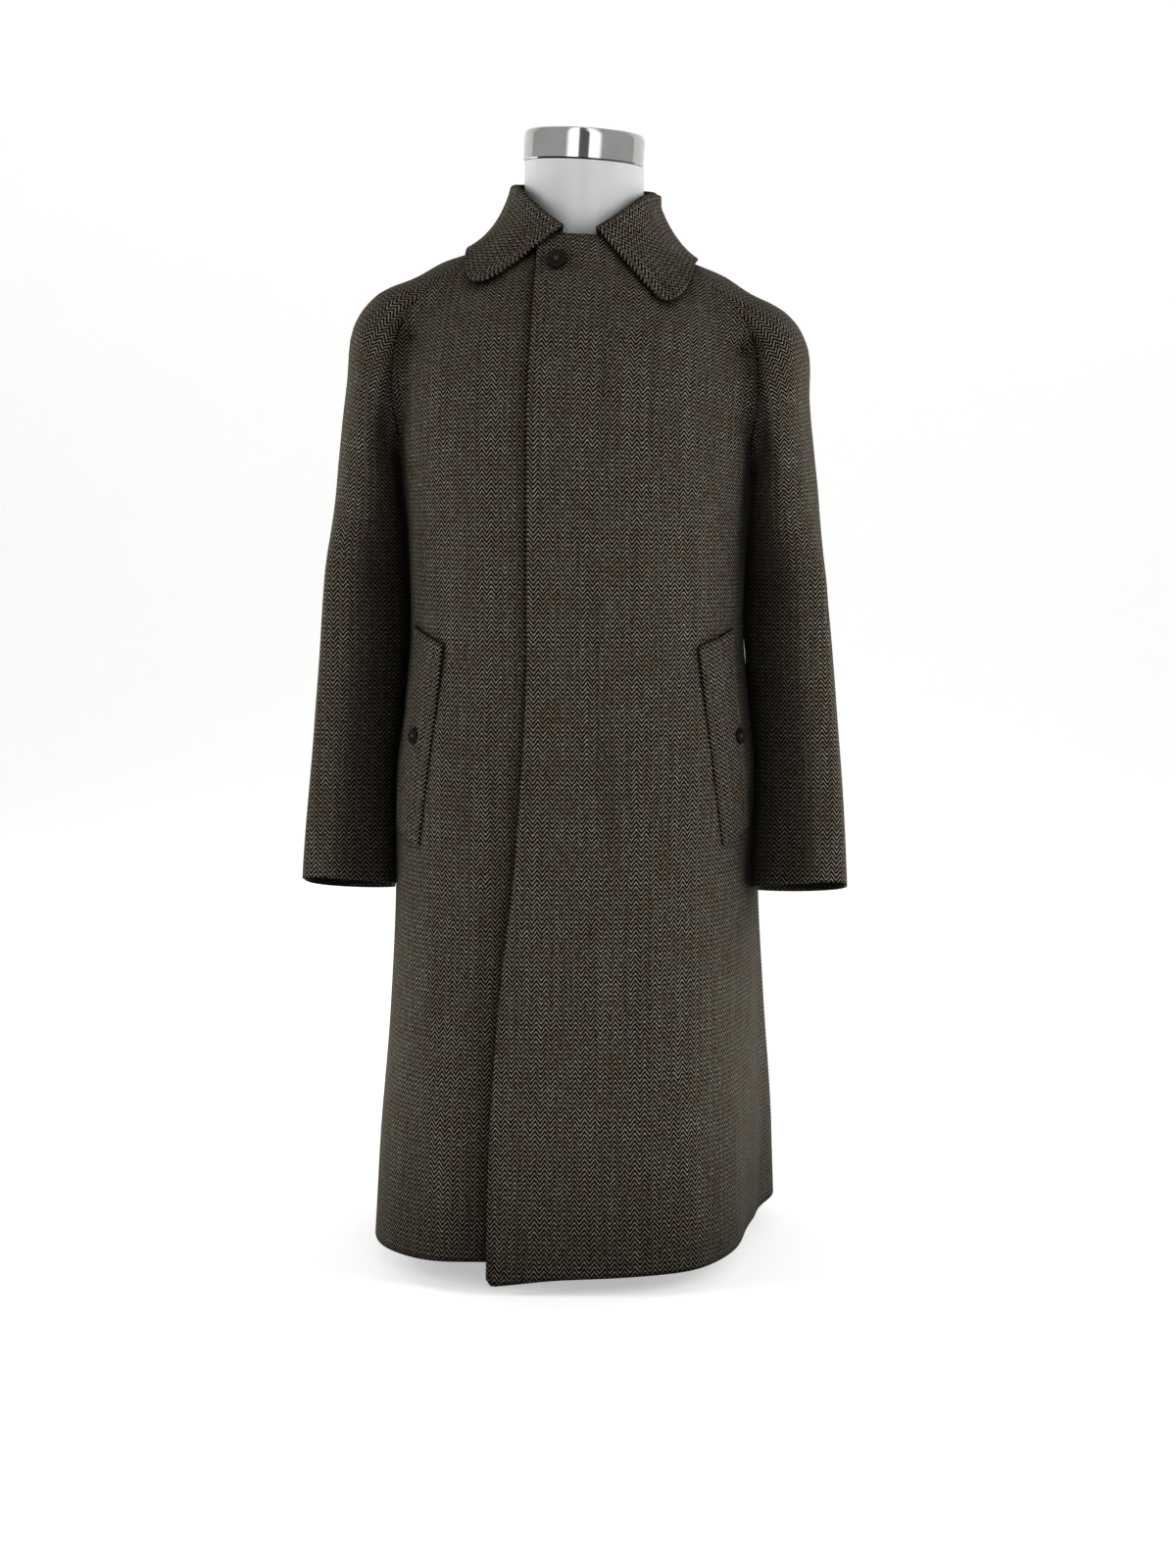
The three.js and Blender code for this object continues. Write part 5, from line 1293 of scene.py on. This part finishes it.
# The air of the studio lights the cloth faintly and is pale to look at. In the chrome it shows a dark
# gap in front between two bright windows, as a polished cap does in such a room.
world = bpy.data.worlds.new("studio_air")
world.use_nodes = True
air = world.node_tree


def in_air(kind, values=(), **settings):
    node = air.nodes.new("ShaderNode" + kind)
    for key, value in settings.items():
        setattr(node, key, value)
    for key, value in dict(values).items():
        if isinstance(value, bpy.types.NodeSocket):
            air.links.new(value, node.inputs[key])
        else:
            node.inputs[key].default_value = value
    return node


ray = in_air("LightPath").outputs
split = in_air("SeparateXYZ", {"Vector": in_air("TexCoord").outputs["Generated"]}).outputs
behind = in_air("Math", {0: split["Y"], 1: -1.0}, operation="MULTIPLY").outputs["Value"]
round_it = in_air("Math", {0: split["X"], 1: behind}, operation="ARCTAN2").outputs["Value"]
round_it = in_air("Math", {0: round_it, 1: -0.06}, operation="ADD").outputs["Value"]
aside = in_air("Math", {0: round_it}, operation="ABSOLUTE").outputs["Value"]
opened = in_air("MapRange", {"Value": aside, "From Min": 0.15, "From Max": 0.19, "To Min": 0.14, "To Max": 1.9})
closed = in_air("MapRange", {"Value": aside, "From Min": 0.48, "From Max": 0.6, "To Min": 1, "To Max": 0.24})
both = {0: opened.outputs["Result"], 1: closed.outputs["Result"]}
mirrored = in_air("Math", both, operation="MULTIPLY").outputs["Value"]
glow = in_air("Mix", {"Factor": ray["Is Glossy Ray"], 2: 0.22, 3: mirrored}, data_type="FLOAT").outputs[0]
seen = in_air("Mix", {"Factor": ray["Is Camera Ray"], 2: glow, 3: 0.93}, data_type="FLOAT").outputs[0]
air.links.new(seen, air.nodes["Background"].inputs["Strength"])
air.nodes["Background"].inputs["Color"].default_value = (1, 1, 1, 1)
bpy.context.scene.world = world


def softbox(name, place, aim, size, power):
    light = bpy.data.lights.new(name, "AREA")
    light.shape = "RECTANGLE"
    light.size, light.size_y = size
    light.energy = power
    lamp = bpy.data.objects.new(name, light)
    lamp.location = place
    lamp.rotation_euler = (Vector(aim) - Vector(place)).to_track_quat("-Z", "Y").to_euler()
    lamp.visible_glossy = False
    bpy.context.scene.collection.objects.link(lamp)


softbox("right_light", (2.9, -1.1, 1.5), (0, 0, 0.7), (1.2, 2.0), 66)
softbox("left_light", (-2.9, -0.9, 1.4), (0, 0, 0.7), (1.2, 2.0), 54)
softbox("front_fill", (0.5, -3.4, 2.2), (0, 0, 0.6), (1.6, 1.2), 16)
softbox("rim_right", (2.2, 1.3, 1.3), (0, 0, 0.7), (0.5, 2.2), 12)
softbox("rim_left", (-2.2, 1.3, 1.3), (0, 0, 0.7), (0.5, 2.2), 20)

bpy.context.scene.view_settings.view_transform = "Standard"
